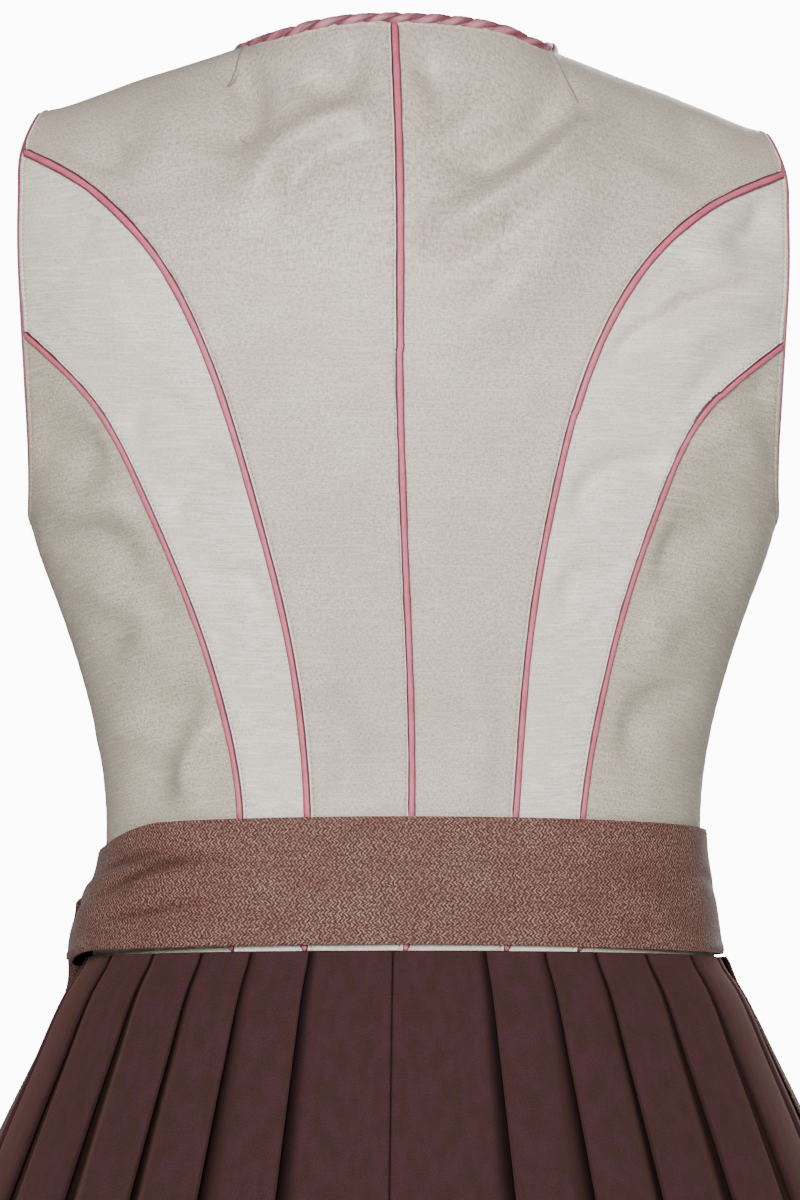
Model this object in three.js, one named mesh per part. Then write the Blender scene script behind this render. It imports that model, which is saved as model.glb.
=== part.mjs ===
// A dirndl with its apron, in millimetres, filled out as it is worn and hollow inside.
// +Z is up, the front faces -Y and +X is the wearer's left. The origin is midway between
// the two neck points of the shoulder seams, where the wearer's shoulders carry the dress.
import * as THREE from "three";

// Cloth walls and the gaps between sewn pieces.
const BODICE_WALL = 1.4;
const SKIRT_WALL = 1.0;
const APRON_WALL = 1.0;
const BAND_WALL = 1.2;
const SEAM_GAP = 0.3;
const MOST_MITRE = 2.2; // of a wall's half thickness, at a sharp fold

// Heights of the cut.
const WAIST_Z = -392.3; // waist seam at the centre back
const WAIST_DIP = 9.4; // how much lower it lies at the centre front
const HEM_Z = -1097;
const UNDERARM_Z = -206;
const YOKE_Z = -110; // above this the body rounds over into the shoulders
const YOKE_RISE = 110; // chart height of that rounding
const YOKE_ROUNDNESS = 2.4;
const SQUARENESS = 0.18; // how much squarer than an ellipse the body's sections are
const SHOULDER_LEAN = 0.029; // the wearer's left shoulder is carried a little higher
const LEAN_FROM = -200; // heights between which that lean grows
const LEAN_TO = -60;

// Trimmings.
const PIPING_WIDTH = 3.0;
const PIPING_HEIGHT = 1.9;
const PIPING_UNDER_BAND = 1.0; // pressed flat by the apron band
const ARMHOLE_PIPING_RADIUS = 1.1;
const BRAID_RADIUS = 2.5;
const BRAID_TURN = 26; // length of one full twist of the neck braid
const BRAID_PARTS = 4; // steps of the braid to each step of the neck edge
const PIPING_CUT = 1.6; // how far each end stops short of the cloth's edge
const PIPING_SHOULDER = { out: 0.8, up: 0.7 }; // shares of its half width and height
const SWELL = { from: 1.4, to: 5 }; // above the band's top edge

// Sections of the body that the bodice is cut for: half width, and depth behind and before the side.
const BODY = [
  { z: -402, half: 136.5, back: 92, front: 98 },
  { z: -375, half: 133.3, back: 88, front: 95 },
  { z: -345, half: 129.8, back: 84.5, front: 93 },
  { z: -320, half: 130.8, back: 85, front: 97 },
  { z: -295, half: 135, back: 87.5, front: 106 },
  { z: -270, half: 141.7, back: 91.5, front: 114 },
  { z: -245, half: 150, back: 94.5, front: 118 },
  { z: -220, half: 159.3, back: 97, front: 114.5 },
  { z: UNDERARM_Z, half: 163.5, back: 98.3, front: 112 },
  { z: -185, half: 170, back: 99.8, front: 107 },
  { z: -150, half: 181, back: 101, front: 99 },
  { z: YOKE_Z, half: 185, back: 100, front: 92 },
  { z: -60, half: 185, back: 92, front: 80 },
  { z: -20, half: 185, back: 80, front: 64 },
  { z: 20, half: 185, back: 66, front: 48 },
  { z: 60, half: 185, back: 50, front: 38 },
];
const BUST = { x: 84, z: -252, rise: 22, wide: 58, tall: 50 };

// Height of the shoulder line at each distance from the middle; inside the neck it climbs the neck.
const SHOULDER = [
  { x: 0, z: 50 },
  { x: 40, z: 31 },
  { x: 58, z: 11 },
  { x: 67, z: 2.6 },
  { x: 77, z: -1.4 },
  { x: 98, z: -8.7 },
  { x: 116, z: -14.8 },
  { x: 133, z: -21.6 },
  { x: 151, z: -28.3 },
  { x: 158, z: -30 },
  { x: 186, z: -42 },
];

// How far the seams are carried sideways, as the dress sits a little twisted on the figure.
const SEAM_DRIFT = [
  { z: -400, x: -0.6 },
  { z: -330, x: -3.6 },
  { z: -290, x: -3.3 },
  { z: -208, x: -0.2 },
  { z: -150, x: 1.5 },
  { z: -60, x: 2.0 },
  { z: 10, x: 4.2 },
];
const DRIFT_TO = { from: 110, none: 160 }; // distances from the middle over which it fades

// Seams and edges of the left half, as distance from the middle and height; the right is its mirror.
const BACK_INNER_SEAM = [
  { x: 42.8, z: -393 },
  { x: 44.4, z: -330 },
  { x: 50.2, z: -267 },
  { x: 61.9, z: -208 },
  { x: 78.9, z: -148 },
  { x: 101, z: -103 },
  { x: 130.6, z: -71.4 },
  { x: 165, z: -51 },
];
const BACK_OUTER_SEAM = [
  { x: 74, z: -393 },
  { x: 73.2, z: -330 },
  { x: 85.9, z: -266.5 },
  { x: 106.8, z: -207 },
  { x: 129, z: -162 },
  { x: 163.3, z: -128.5 },
];
const FRONT_SEAM = [
  { x: 60, z: -400 },
  { x: 66, z: -335 },
  { x: 86, z: -255 },
  { x: 99, z: -220 },
  { x: 119, z: -182 },
  { x: 142.5, z: -142 },
];
const BACK_ARMHOLE = [
  { x: 163.5, z: UNDERARM_Z },
  { x: 161.8, z: -192 },
  { x: 161.3, z: -172 },
  { x: 162.3, z: -146 },
  { x: 163.3, z: -128.5 },
  { x: 165.2, z: -95 },
  { x: 165.4, z: -70 },
  { x: 165, z: -51 },
  { x: 158, z: -30 },
];
const FRONT_ARMHOLE = [
  { x: 163.5, z: UNDERARM_Z },
  { x: 156, z: -184 },
  { x: 146.5, z: -158 },
  { x: 142.5, z: -142 },
  { x: 141, z: -122 },
  { x: 143, z: -90 },
  { x: 149, z: -56 },
  { x: 158, z: -30 },
];
// The neckline sits a little to the wearer's left, so its right half is narrower.
const NECK_TOP = 8;
const BACK_NECK = {
  left: [
    { x: 0, z: NECK_TOP },
    { x: 20, z: 7.5 },
    { x: 38, z: 4.6 },
    { x: 49, z: 1.6 },
    { x: 64, z: -0.4 },
    { x: 71, z: -0.8 },
    { x: 74.5, z: 0.4 },
  ],
  right: [
    { x: 0, z: NECK_TOP },
    { x: 20, z: 7.8 },
    { x: 39, z: 6.2 },
    { x: 48, z: 4.2 },
    { x: 55, z: 1.6 },
    { x: 62, z: 0.2 },
    { x: 67, z: 2.7 },
  ],
};
const FRONT_NECK_Z = -150;
const FRONT_NECK = {
  left: [
    { x: 0, z: FRONT_NECK_Z },
    { x: 34, z: -147.5 },
    { x: 60, z: -136 },
    { x: 73, z: -112 },
    { x: 77, z: -80 },
    { x: 77, z: -40 },
    { x: 74.5, z: 0.4 },
  ],
  right: [
    { x: 0, z: FRONT_NECK_Z },
    { x: 34, z: -147.5 },
    { x: 60, z: -136 },
    { x: 72, z: -112 },
    { x: 74.5, z: -80 },
    { x: 72, z: -40 },
    { x: 67, z: 2.7 },
  ],
};

// Sections of the ring that the skirt's cloth hangs on, and how far its pleats stand out from it.
const SKIRT = [
  { z: -390, half: 134.5, back: 91, front: 96, stand: 2.7, tuck: 14 },
  { z: -397, half: 137, back: 92.5, front: 98, stand: 2.7, tuck: 14 },
  { z: -410, half: 144.5, back: 98, front: 103, stand: 3.6, tuck: 15 },
  { z: -440, half: 156.5, back: 110, front: 112, stand: 5.2, tuck: 17 },
  { z: -470, half: 168.3, back: 122, front: 123, stand: 6.6, tuck: 18 },
  { z: -540, half: 194, back: 148, front: 146, stand: 9.5, tuck: 20 },
  { z: -640, half: 227, back: 183, front: 178, stand: 13, tuck: 22 },
  { z: -760, half: 260, back: 218, front: 210, stand: 16.5, tuck: 24 },
  { z: -900, half: 290, back: 250, front: 240, stand: 20, tuck: 26 },
  { z: -1000, half: 308, back: 268, front: 258, stand: 22, tuck: 27 },
  { z: HEM_Z, half: 322, back: 282, front: 272, stand: 24, tuck: 28 },
];
const SKIRT_ROWS = [0, 0.02, 0.07, 0.15, 0.3, 0.5, 0.75, 1]; // shares of the skirt's length

// Angle of each pleat's folded edge from the centre back; every edge points to the centre back.
const PLEAT_EDGES = [16.1, 27.4, 38, 50.5, 65.7, 82, 99, 115, 130];
const PLEAT_SHIFT = 1.1; // the whole lay of pleats sits this much to the wearer's left
const SIDE_SEAM_PLEAT = 5; // the side seam hides in the inner fold behind this pleat
const CENTRE_BACK_SEAM = 1.9; // angle of the skirt's centre back seam
const STAND_AT_WAIST = SKIRT[0].stand;
const PLEAT_OPENING = 0.12; // how far a fold's two inner layers part, of what its stand has grown
const PLEAT_FACE = { flat: 1.15, lie: 0.96 }; // its face is flat for 1.15 tucks, then slopes in
const FRONT_WAVES = 5;
const FRONT_WAVE_SHARE = 0.35; // of the pleats' stand
const FRONT_WAVES_FROM = 10; // degrees after the last folded edge

// The apron: a gathered front cloth, a band round the waist and a bow at the left front.
const APRON_START = 97; // angle of its side edge from the centre back
const APRON_HEM_Z = -1045;
const APRON_WAVES = 15;
const APRON_TOP_DROP = 5; // its top edge is as wide as the skirt this far below the waist seam
const APRON_GATHER = { top: 0.35, hem: 7 }; // half height of the gathers
const APRON_CLEAR = { waist: 0.6, hem: 2.1 }; // between the skirt's pleats and the apron
const BAND_TOP_Z = -335;
const BAND_DIP = 13;
const BAND_LIFT = 2.6; // of its lower edge above the waist seam
const BAND_SIDE_DROP = 1.7; // its lower edge hangs this much lower at the sides
const BAND_SIDE_IN = 0.5; // and it lies this much closer there
// The bow draws the band down on the left: how far, and the angles between which that grows.
const BAND_TOP_PULL = { by: 9, from: 50, to: 85 };
const BAND_LOW_PULL = { by: 5, from: 70, to: 96 };
const BAND_RELEASE = { from: 120, to: 200 };
// How far the band stands off at the left side, at shares of its height from the top.
const BAND_LEFT = [
  { share: 0, out: 0 },
  { share: 0.25, out: 1 },
  { share: 0.5, out: 5.8 },
  { share: 0.75, out: 7.6 },
  { share: 1, out: 5.2 },
];
const BAND_OFFSET = 3.6; // of its middle from the bodice wall's middle
const BAND_OFFSET_FRONT = 2.6;
const BAND_REACH = 1.9; // millimetres round the band to a degree, beside the bow
const BOW_ANGLE = 149;
const BOW_Z = -373;
const TIE_WIDTH = 46;
const KNOT = { wide: 30, tall: 38, deep: 17, clear: 0.4 };
const LOOP = { length: 55, start: 5.5, step: 5, deep: 20, droop: 28, narrow: 18, clear: 0.1 };
const TAIL = { length: 430, narrow: 12, spread: 31, gap: -0.9, lift: 6, fall: 26, over: 2.6 };

const radians = THREE.MathUtils.degToRad;
const degrees = THREE.MathUtils.radToDeg;

// Value of a named column at a place in a table, on a smooth curve through the rows.
function along(table, key, at, column) {
  const rows = table[0][key] < table[table.length - 1][key] ? table : [...table].reverse();
  const last = rows.length - 1;
  if (at <= rows[0][key]) return rows[0][column];
  if (at >= rows[last][key]) return rows[last][column];
  let i = 0;
  while (rows[i + 1][key] < at) i += 1;
  const slope = (a, b) => (rows[b][column] - rows[a][column]) / (rows[b][key] - rows[a][key]);
  const step = slope(i, i + 1);
  const before = i > 0 ? (slope(i - 1, i) + step) / 2 : step;
  const after = i + 1 < last ? (step + slope(i + 1, i + 2)) / 2 : step;
  const span = rows[i + 1][key] - rows[i][key];
  const t = (at - rows[i][key]) / span;
  const value = rows[i][column];
  const bend = 3 * step - 2 * before - after;
  const close = before + after - 2 * step;
  return value + span * t * (before + t * (bend + t * close));
}

// Height of the waist seam at an angle from the centre back.
function waistZ(angle) {
  return WAIST_Z - (WAIST_DIP * (1 - Math.cos(radians(angle)))) / 2;
}

// Point of a ring with the given half width and depths.
function ringPoint(half, back, front, angle) {
  const s = Math.sin(radians(angle));
  const c = Math.cos(radians(angle));
  return { x: half * s, y: (c > 0 ? back : front) * c * (1 + SQUARENESS * s * s) };
}

function bustRise(x, z) {
  const across = (Math.abs(x) - BUST.x) / BUST.wide;
  const up = (z - BUST.z) / BUST.tall;
  return BUST.rise * Math.exp(-across * across - up * up);
}

// The body's surface. The chart is an angle from the centre back and a height v, which is the
// real height below the yoke and runs from YOKE_Z to 0 over the rounding of the shoulder.
function body(angle, v) {
  const over = Math.min(1, Math.max(0, (v - YOKE_Z) / YOKE_RISE));
  const u = Math.sin((over * Math.PI) / 2);
  const x = along(BODY, "z", Math.min(v, YOKE_Z), "half") * Math.sin(radians(angle));
  const z = v <= YOKE_Z ? v : YOKE_Z + u * (along(SHOULDER, "x", Math.abs(x), "z") - YOKE_Z);
  const back = along(BODY, "z", z, "back");
  const front = along(BODY, "z", z, "front");
  const ring = ringPoint(1, back, front, angle);
  const behind = Math.cos(radians(angle)) > 0 ? 1 : -1;
  const fullness = behind < 0 ? bustRise(x, z) * -Math.cos(radians(angle)) : 0;
  const fall = Math.pow(Math.max(0, 1 - Math.pow(u, YOKE_ROUNDNESS)), 1 / YOKE_ROUNDNESS);
  const y = (ring.y - fullness) * fall + behind * (SEAM_GAP / 2 + 0.05) * u * u;
  const raised = THREE.MathUtils.smoothstep(z, LEAN_FROM, LEAN_TO);
  return new THREE.Vector3(x, y, z + SHOULDER_LEAN * x * raised);
}

function bodyNormal(angle, v) {
  const turn = 0.4;
  const rise = 0.8;
  const high = Math.min(v + rise, -0.01);
  const across = body(angle + turn, v).sub(body(angle - turn, v));
  const up = body(angle, high).sub(body(angle, high - 2 * rise));
  return across.cross(up).normalize().negate();
}

// Chart place of a point given by its distance from the middle and its height.
function chart(x, z, front) {
  const neck = along(SHOULDER, "x", Math.abs(x), "z");
  const u = Math.min(1, (z - YOKE_Z) / (neck - YOKE_Z));
  const v = z <= YOKE_Z ? z : YOKE_Z + (YOKE_RISE * 2 * Math.asin(u)) / Math.PI;
  const half = along(BODY, "z", Math.min(z, YOKE_Z), "half");
  const angle = degrees(Math.asin(Math.max(-1, Math.min(1, x / half))));
  return { angle: front ? 180 - angle : angle, v };
}

// Evenly spaced chart places along a drawn line, from its share `from` to its share `to`.
function traced(line, count, { front = false, from = 0, to = 1, drift = false, shift = 0 } = {}) {
  const curve = new THREE.SplineCurve(line.map((p) => new THREE.Vector2(p.x, p.z)));
  return Array.from({ length: count + 1 }, (_, i) => {
    const p = curve.getPointAt(from + ((to - from) * i) / count);
    const free = 1 - THREE.MathUtils.smoothstep(p.x, DRIFT_TO.from, DRIFT_TO.none);
    const carried = drift ? along(SEAM_DRIFT, "z", p.y, "x") * free : 0;
    return { ...chart(p.x, p.y, front), carried, shift };
  });
}

// Share of a line's length at which it passes a height, walking it from its first point.
function shareAt(line, z) {
  const curve = new THREE.SplineCurve(line.map((p) => new THREE.Vector2(p.x, p.z)));
  const steps = 3000;
  let best = 0;
  for (let i = 0; i <= steps; i += 1) {
    const here = Math.abs(curve.getPointAt(i / steps).y - z);
    if (here < Math.abs(curve.getPointAt(best).y - z)) best = i / steps;
  }
  return best;
}

// Moves a traced place for one side of the dress: mirrored, carried by the drift, and drawn
// back from the seam by `shift` millimetres.
function placed(place, side) {
  const reach = along(BODY, "z", Math.min(place.v, YOKE_Z), "half");
  const across = place.carried / (reach * Math.max(0.35, Math.abs(Math.cos(radians(place.angle)))));
  const draw = place.shift / (reach * Math.max(0.35, Math.abs(Math.cos(radians(place.angle)))));
  return { angle: side * (place.angle + degrees(draw)) + degrees(across), v: place.v };
}

function mix(a, b, t) {
  return { angle: a.angle + (b.angle - a.angle) * t, v: a.v + (b.v - a.v) * t };
}

// Grid of chart places that fills the four edges of a panel.
function fillEdges(left, right, low, high) {
  const rows = left.length - 1;
  const columns = low.length - 1;
  return left.map((_, j) =>
    low.map((__, i) => {
      const s = i / columns;
      const t = j / rows;
      const wide = mix(left[j], right[j], s);
      const tall = mix(low[i], high[i], t);
      const corner = mix(mix(low[0], low[columns], s), mix(high[0], high[columns], s), t);
      return { angle: wide.angle + tall.angle - corner.angle, v: wide.v + tall.v - corner.v };
    }),
  );
}

// Closed solid between two grids of points, as wide and as tall as each other.
function wallBetween(outer, inner, ring = false) {
  const rows = outer.length;
  const columns = outer[0].length;
  const points = [...outer.flat(), ...inner.flat()];
  const out = (j, i) => j * columns + (i % columns);
  const into = (j, i) => rows * columns + out(j, i);
  const index = [];
  const face = (a, b, c, d) => index.push(a, b, c, a, c, d);
  const across = ring ? columns : columns - 1;
  for (let j = 0; j + 1 < rows; j += 1) {
    for (let i = 0; i < across; i += 1) {
      face(out(j, i), out(j, i + 1), out(j + 1, i + 1), out(j + 1, i));
      face(into(j, i), into(j + 1, i), into(j + 1, i + 1), into(j, i + 1));
    }
  }
  for (let i = 0; i < across; i += 1) {
    face(into(0, i), into(0, i + 1), out(0, i + 1), out(0, i));
    face(out(rows - 1, i), out(rows - 1, i + 1), into(rows - 1, i + 1), into(rows - 1, i));
  }
  for (let j = 0; j + 1 < rows && !ring; j += 1) {
    face(out(j, 0), out(j + 1, 0), into(j + 1, 0), into(j, 0));
    const end = columns - 1;
    face(into(j, end), into(j + 1, end), out(j + 1, end), out(j, end));
  }
  return solid(points, index);
}

// Geometry from points and faces, turned round if its faces point inwards.
function solid(points, index) {
  let volume = 0;
  for (let i = 0; i < index.length; i += 3) {
    const [a, b, c] = [points[index[i]], points[index[i + 1]], points[index[i + 2]]];
    volume += a.dot(new THREE.Vector3().crossVectors(b, c));
  }
  const geometry = new THREE.BufferGeometry().setFromPoints(points);
  geometry.setIndex(volume > 0 ? index : index.reverse());
  geometry.computeVertexNormals();
  return geometry;
}

// Tube of a flat-bottomed or round section along points, each with its normal. `shape` gives the
// section's points as [across, up] at each step.
function sweep(points, normals, shape, closed) {
  const count = points.length;
  const rings = points.map((point, i) => {
    const next = points[closed ? (i + 1) % count : Math.min(i + 1, count - 1)];
    const last = points[closed ? (i + count - 1) % count : Math.max(i - 1, 0)];
    const forward = next.clone().sub(last).normalize();
    const aside = new THREE.Vector3().crossVectors(forward, normals[i]).normalize();
    const up = new THREE.Vector3().crossVectors(aside, forward);
    return shape(i).map(([a, h]) => point.clone().addScaledVector(aside, a).addScaledVector(up, h));
  });
  const sides = rings[0].length;
  const index = [];
  const steps = closed ? count : count - 1;
  for (let i = 0; i < steps; i += 1) {
    const here = i * sides;
    const there = ((i + 1) % count) * sides;
    for (let k = 0; k < sides; k += 1) {
      const l = (k + 1) % sides;
      index.push(here + k, here + l, there + l, here + k, there + l, there + k);
    }
  }
  for (let k = 1; k + 1 < sides && !closed; k += 1) {
    const end = (count - 1) * sides;
    index.push(0, k + 1, k, end, end + k, end + k + 1);
  }
  return solid(rings.flat(), index);
}

const dress = new THREE.Group();

function cloth(colour, roughness) {
  return new THREE.MeshStandardMaterial({ color: colour, roughness, metalness: 0 });
}

const champagne = cloth(0xc9c3b9, 0.5);
const pink = cloth(0xcb7484, 0.45);
const chocolate = cloth(0x4c3431, 0.8);
const rosewood = cloth(0x7d5650, 0.55);

function add(name, geometry, material) {
  const mesh = new THREE.Mesh(geometry, material);
  mesh.name = name;
  dress.add(mesh);
}

// Bodice panels.
const SIDES = [
  { name: "left", side: 1 },
  { name: "right", side: -1 },
];
const BACK_SEAM_STEPS = 12; // along a princess seam of the back
const FRONT_SEAM_STEPS = 10;
const CENTRE_FRONT_STEPS = 7;
const SHOULDER_STEPS = 8;
const ARMHOLE_STEPS = { centre: 4, middle: 4, side: 6, frontSide: 6, frontCentre: 8 };
const BACK_NECK_STEPS = 6;
// The centre back's rows are level with the inner seams' ends, and then with the armholes.
const BACK_STOPS = [
  { z: -66, rows: BACK_SEAM_STEPS },
  { z: NECK_TOP, rows: ARMHOLE_STEPS.centre },
];
const BACK_INNER_END = shareAt(BACK_ARMHOLE, -51);
const BACK_OUTER_END = shareAt(BACK_ARMHOLE, -128.5);
const FRONT_SEAM_END = shareAt(FRONT_ARMHOLE, -142);
const HALF_GAP = SEAM_GAP / 2 + 0.05;
const NECK_POINT = { left: 74.5, right: 67 }; // distance of the neck points from the middle
const SHOULDER_TIP = 158;

// Lower edge of a panel, along the waist seam between two angles.
function waistEdge(from, to, columns) {
  return Array.from({ length: columns + 1 }, (_, i) => {
    const angle = from + ((to - from) * i) / columns;
    return { angle, v: waistZ(angle) + SEAM_GAP };
  });
}

// `inner` is the edge nearer the middle of the back or front, and `outer` the one nearer the side.
function panel(name, inner, outer, high) {
  const low = waistEdge(inner[0].angle, outer[0].angle, high.length - 1);
  const near = [low[0], ...inner.slice(1)];
  const far = [low[low.length - 1], ...outer.slice(1)];
  const top = [near[near.length - 1], ...high.slice(1, -1), far[far.length - 1]];
  const grid = fillEdges(near, far, low, top);
  const layer = (h) =>
    grid.map((row) =>
      row.map((p) => body(p.angle, p.v).addScaledVector(bodyNormal(p.angle, p.v), h)),
    );
  add(name, wallBetween(layer(BODICE_WALL / 2), layer(-BODICE_WALL / 2)), champagne);
}

// Places up the middle of the back or front, drawn back from it on one side of the dress.
// `stops` are heights above the waist, each with the number of rows that lead up to it.
function centreLine(stops, { front = false, shift = 0 }) {
  let low = waistZ(front ? 180 : 0) + SEAM_GAP;
  const heights = [low];
  for (const { z, rows } of stops) {
    for (let j = 1; j <= rows; j += 1) heights.push(low + ((z - low) * j) / rows);
    low = z;
  }
  return heights.map((z) => {
    const carried = front ? 0 : along(SEAM_DRIFT, "z", z, "x");
    return { ...chart(0, z, front), carried, shift };
  });
}

function shoulderLine(name, front) {
  return Array.from({ length: SHOULDER_STEPS + 1 }, (_, i) => {
    const x = NECK_POINT[name] + ((SHOULDER_TIP - NECK_POINT[name]) * i) / SHOULDER_STEPS;
    return { ...chart(x, SHOULDER[0].z, front), carried: 0, shift: 0 };
  });
}

const backInner = (shift) => traced(BACK_INNER_SEAM, BACK_SEAM_STEPS, { drift: true, shift });
const backOuter = (shift) => traced(BACK_OUTER_SEAM, BACK_SEAM_STEPS, { drift: true, shift });
const frontSeam = (shift) => traced(FRONT_SEAM, FRONT_SEAM_STEPS, { front: true, shift });
const sideSeam = (steps, off) =>
  Array.from({ length: steps + 1 }, (_, j) => {
    const low = waistZ(90) + SEAM_GAP;
    return { angle: 90 + off, v: low + ((UNDERARM_Z - low) * j) / steps, carried: 0, shift: 0 };
  });

// The edges round an armhole and a neckline, each as the panels are cut.
const armhole = {
  centre: traced(BACK_ARMHOLE, ARMHOLE_STEPS.centre, { from: BACK_INNER_END }),
  middle: traced(BACK_ARMHOLE, ARMHOLE_STEPS.middle, { from: BACK_INNER_END, to: BACK_OUTER_END }),
  side: traced(BACK_ARMHOLE, ARMHOLE_STEPS.side, { from: BACK_OUTER_END, to: 0 }),
  frontSide: traced(FRONT_ARMHOLE, ARMHOLE_STEPS.frontSide, {
    front: true,
    from: FRONT_SEAM_END,
    to: 0,
  }),
  frontCentre: traced(FRONT_ARMHOLE, ARMHOLE_STEPS.frontCentre, {
    front: true,
    from: FRONT_SEAM_END,
  }),
};
const backNeck = (name) => traced(BACK_NECK[name], BACK_NECK_STEPS);
const frontRows = FRONT_SEAM_STEPS + ARMHOLE_STEPS.frontCentre;
const frontNeck = (name) =>
  traced(FRONT_NECK[name], frontRows - CENTRE_FRONT_STEPS, { front: true });

const SIDE_OFF = 0.1; // degrees that each side panel is drawn back from the side seam
for (const { name, side } of SIDES) {
  const put = (places) => places.map((p) => placed(p, side));
  panel(
    `back_centre_${name}`,
    put(centreLine(BACK_STOPS, { shift: HALF_GAP })),
    put([...backInner(-HALF_GAP), ...armhole.centre.slice(1)]),
    put([...backNeck(name), ...shoulderLine(name, false).slice(1)]),
  );
  panel(
    `back_middle_${name}`,
    put(backInner(HALF_GAP)),
    put(backOuter(-HALF_GAP)),
    put(armhole.middle),
  );
  panel(
    `back_side_${name}`,
    put(backOuter(HALF_GAP)),
    put(sideSeam(BACK_SEAM_STEPS, -SIDE_OFF)),
    put(armhole.side),
  );
  panel(
    `front_side_${name}`,
    put(frontSeam(-HALF_GAP)),
    put(sideSeam(FRONT_SEAM_STEPS, SIDE_OFF)),
    put(armhole.frontSide),
  );
  const frontStops = [{ z: FRONT_NECK_Z, rows: CENTRE_FRONT_STEPS }];
  const centreFront = centreLine(frontStops, { front: true, shift: -HALF_GAP });
  panel(
    `front_centre_${name}`,
    put([...centreFront, ...frontNeck(name).slice(1)]),
    put([...frontSeam(HALF_GAP), ...armhole.frontCentre.slice(1)]),
    put(shoulderLine(name, true)),
  );
}

// Piping along the back seams: flat-bottomed, laid on the wall, and pressed flat under the band.
function bandPull(pull, angle) {
  const turn = THREE.MathUtils.euclideanModulo(angle, 360);
  const grown = THREE.MathUtils.smoothstep(turn, pull.from, pull.to);
  const kept = 1 - THREE.MathUtils.smoothstep(turn, BAND_RELEASE.from, BAND_RELEASE.to);
  return pull.by * grown * kept;
}

function bandTopZ(angle) {
  const dip = (BAND_DIP * (1 - Math.cos(radians(angle)))) / 2;
  return BAND_TOP_Z - dip - bandPull(BAND_TOP_PULL, angle);
}

function bandLowZ(angle) {
  const drop = BAND_SIDE_DROP * Math.sin(radians(angle)) ** 2;
  return waistZ(angle) + BAND_LIFT - drop - bandPull(BAND_LOW_PULL, angle);
}

function pipingShape(width, height) {
  const half = width / 2;
  return [
    [-half, 0],
    [half, 0],
    [half * PIPING_SHOULDER.out, height * PIPING_SHOULDER.up],
    [0, height],
    [-half * PIPING_SHOULDER.out, height * PIPING_SHOULDER.up],
  ];
}

function seamPiping(name, places) {
  const stations = places.map((p) => {
    const normal = bodyNormal(p.angle, p.v);
    const point = body(p.angle, p.v).addScaledVector(normal, BODICE_WALL / 2 + SEAM_GAP);
    return { point, normal, above: p.v - bandTopZ(p.angle) };
  });
  // It swells from its pressed height to its full one just above the band.
  for (const above of [SWELL.from, SWELL.to]) {
    const i = stations.findIndex((s) => s.above > above);
    const [low, high] = [stations[i - 1], stations[i]];
    const t = (above - low.above) / (high.above - low.above);
    const point = low.point.clone().lerp(high.point, t);
    const normal = low.normal.clone().lerp(high.normal, t).normalize();
    stations.splice(i, 0, { point, normal, above });
  }
  const points = stations.map((s) => s.point);
  // Both ends are cut just short of the edges that the seam runs between.
  const end = points.length - 1;
  points[0].lerp(points[1], PIPING_CUT / points[0].distanceTo(points[1]));
  points[end].lerp(points[end - 1], PIPING_CUT / points[end].distanceTo(points[end - 1]));
  const shape = (i) => {
    const height = stations[i].above > SWELL.from ? PIPING_HEIGHT : PIPING_UNDER_BAND;
    return pipingShape(PIPING_WIDTH, height);
  };
  add(name, sweep(points, stations.map((s) => s.normal), shape, false), pink);
}

seamPiping(
  "piping_centre_back",
  centreLine(BACK_STOPS, {}).map((p) => placed(p, 1)),
);
for (const { name, side } of SIDES) {
  seamPiping(`piping_inner_${name}`, backInner(0).map((p) => placed(p, side)));
  seamPiping(`piping_outer_${name}`, backOuter(0).map((p) => placed(p, side)));
}

// Loop along edges of the cloth: points between the edge's own, each with its normal, and moved
// by `offset` away from the cloth, towards `middle`.
function edgeLoop(places, middle, offset, parts) {
  const count = places.length;
  const corners = places.map((p) => body(p.angle, p.v));
  const cornerNormals = places.map((p) => bodyNormal(p.angle, p.v));
  const on = [];
  const normals = [];
  corners.forEach((corner, i) => {
    const next = (i + 1) % count;
    for (let k = 0; k < parts; k += 1) {
      on.push(corner.clone().lerp(corners[next], k / parts));
      normals.push(cornerNormals[i].clone().lerp(cornerNormals[next], k / parts).normalize());
    }
  });
  const points = on.map((point, i) => {
    const forward = on[(i + 1) % on.length].clone().sub(on[(i + on.length - 1) % on.length]);
    const out = new THREE.Vector3().crossVectors(forward, normals[i]).normalize();
    if (out.dot(middle.clone().sub(point)) < 0) out.negate();
    return point.clone().addScaledVector(out, offset);
  });
  return { points, normals };
}

// Piping round each armhole, outside the cloth's edge.
const ARMHOLE_SIDES = 5;
for (const { name, side } of SIDES) {
  const places = [
    ...[...armhole.centre].reverse().slice(0, -1),
    ...armhole.middle.slice(0, -1),
    ...armhole.side.slice(0, -1),
    ...[...armhole.frontSide].reverse().slice(0, -1),
    ...armhole.frontCentre.slice(0, -1),
  ].map((p) => placed(p, side));
  const middle = new THREE.Vector3(side * 156, -5, -118);
  const { points, normals } = edgeLoop(places, middle, ARMHOLE_PIPING_RADIUS + SEAM_GAP, 1);
  const shape = () =>
    Array.from({ length: ARMHOLE_SIDES }, (_, k) => {
      const turn = (k / ARMHOLE_SIDES) * 2 * Math.PI;
      return [ARMHOLE_PIPING_RADIUS * Math.cos(turn), ARMHOLE_PIPING_RADIUS * Math.sin(turn)];
    });
  add(`piping_armhole_${name}`, sweep(points, normals, shape, true), pink);
}

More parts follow.
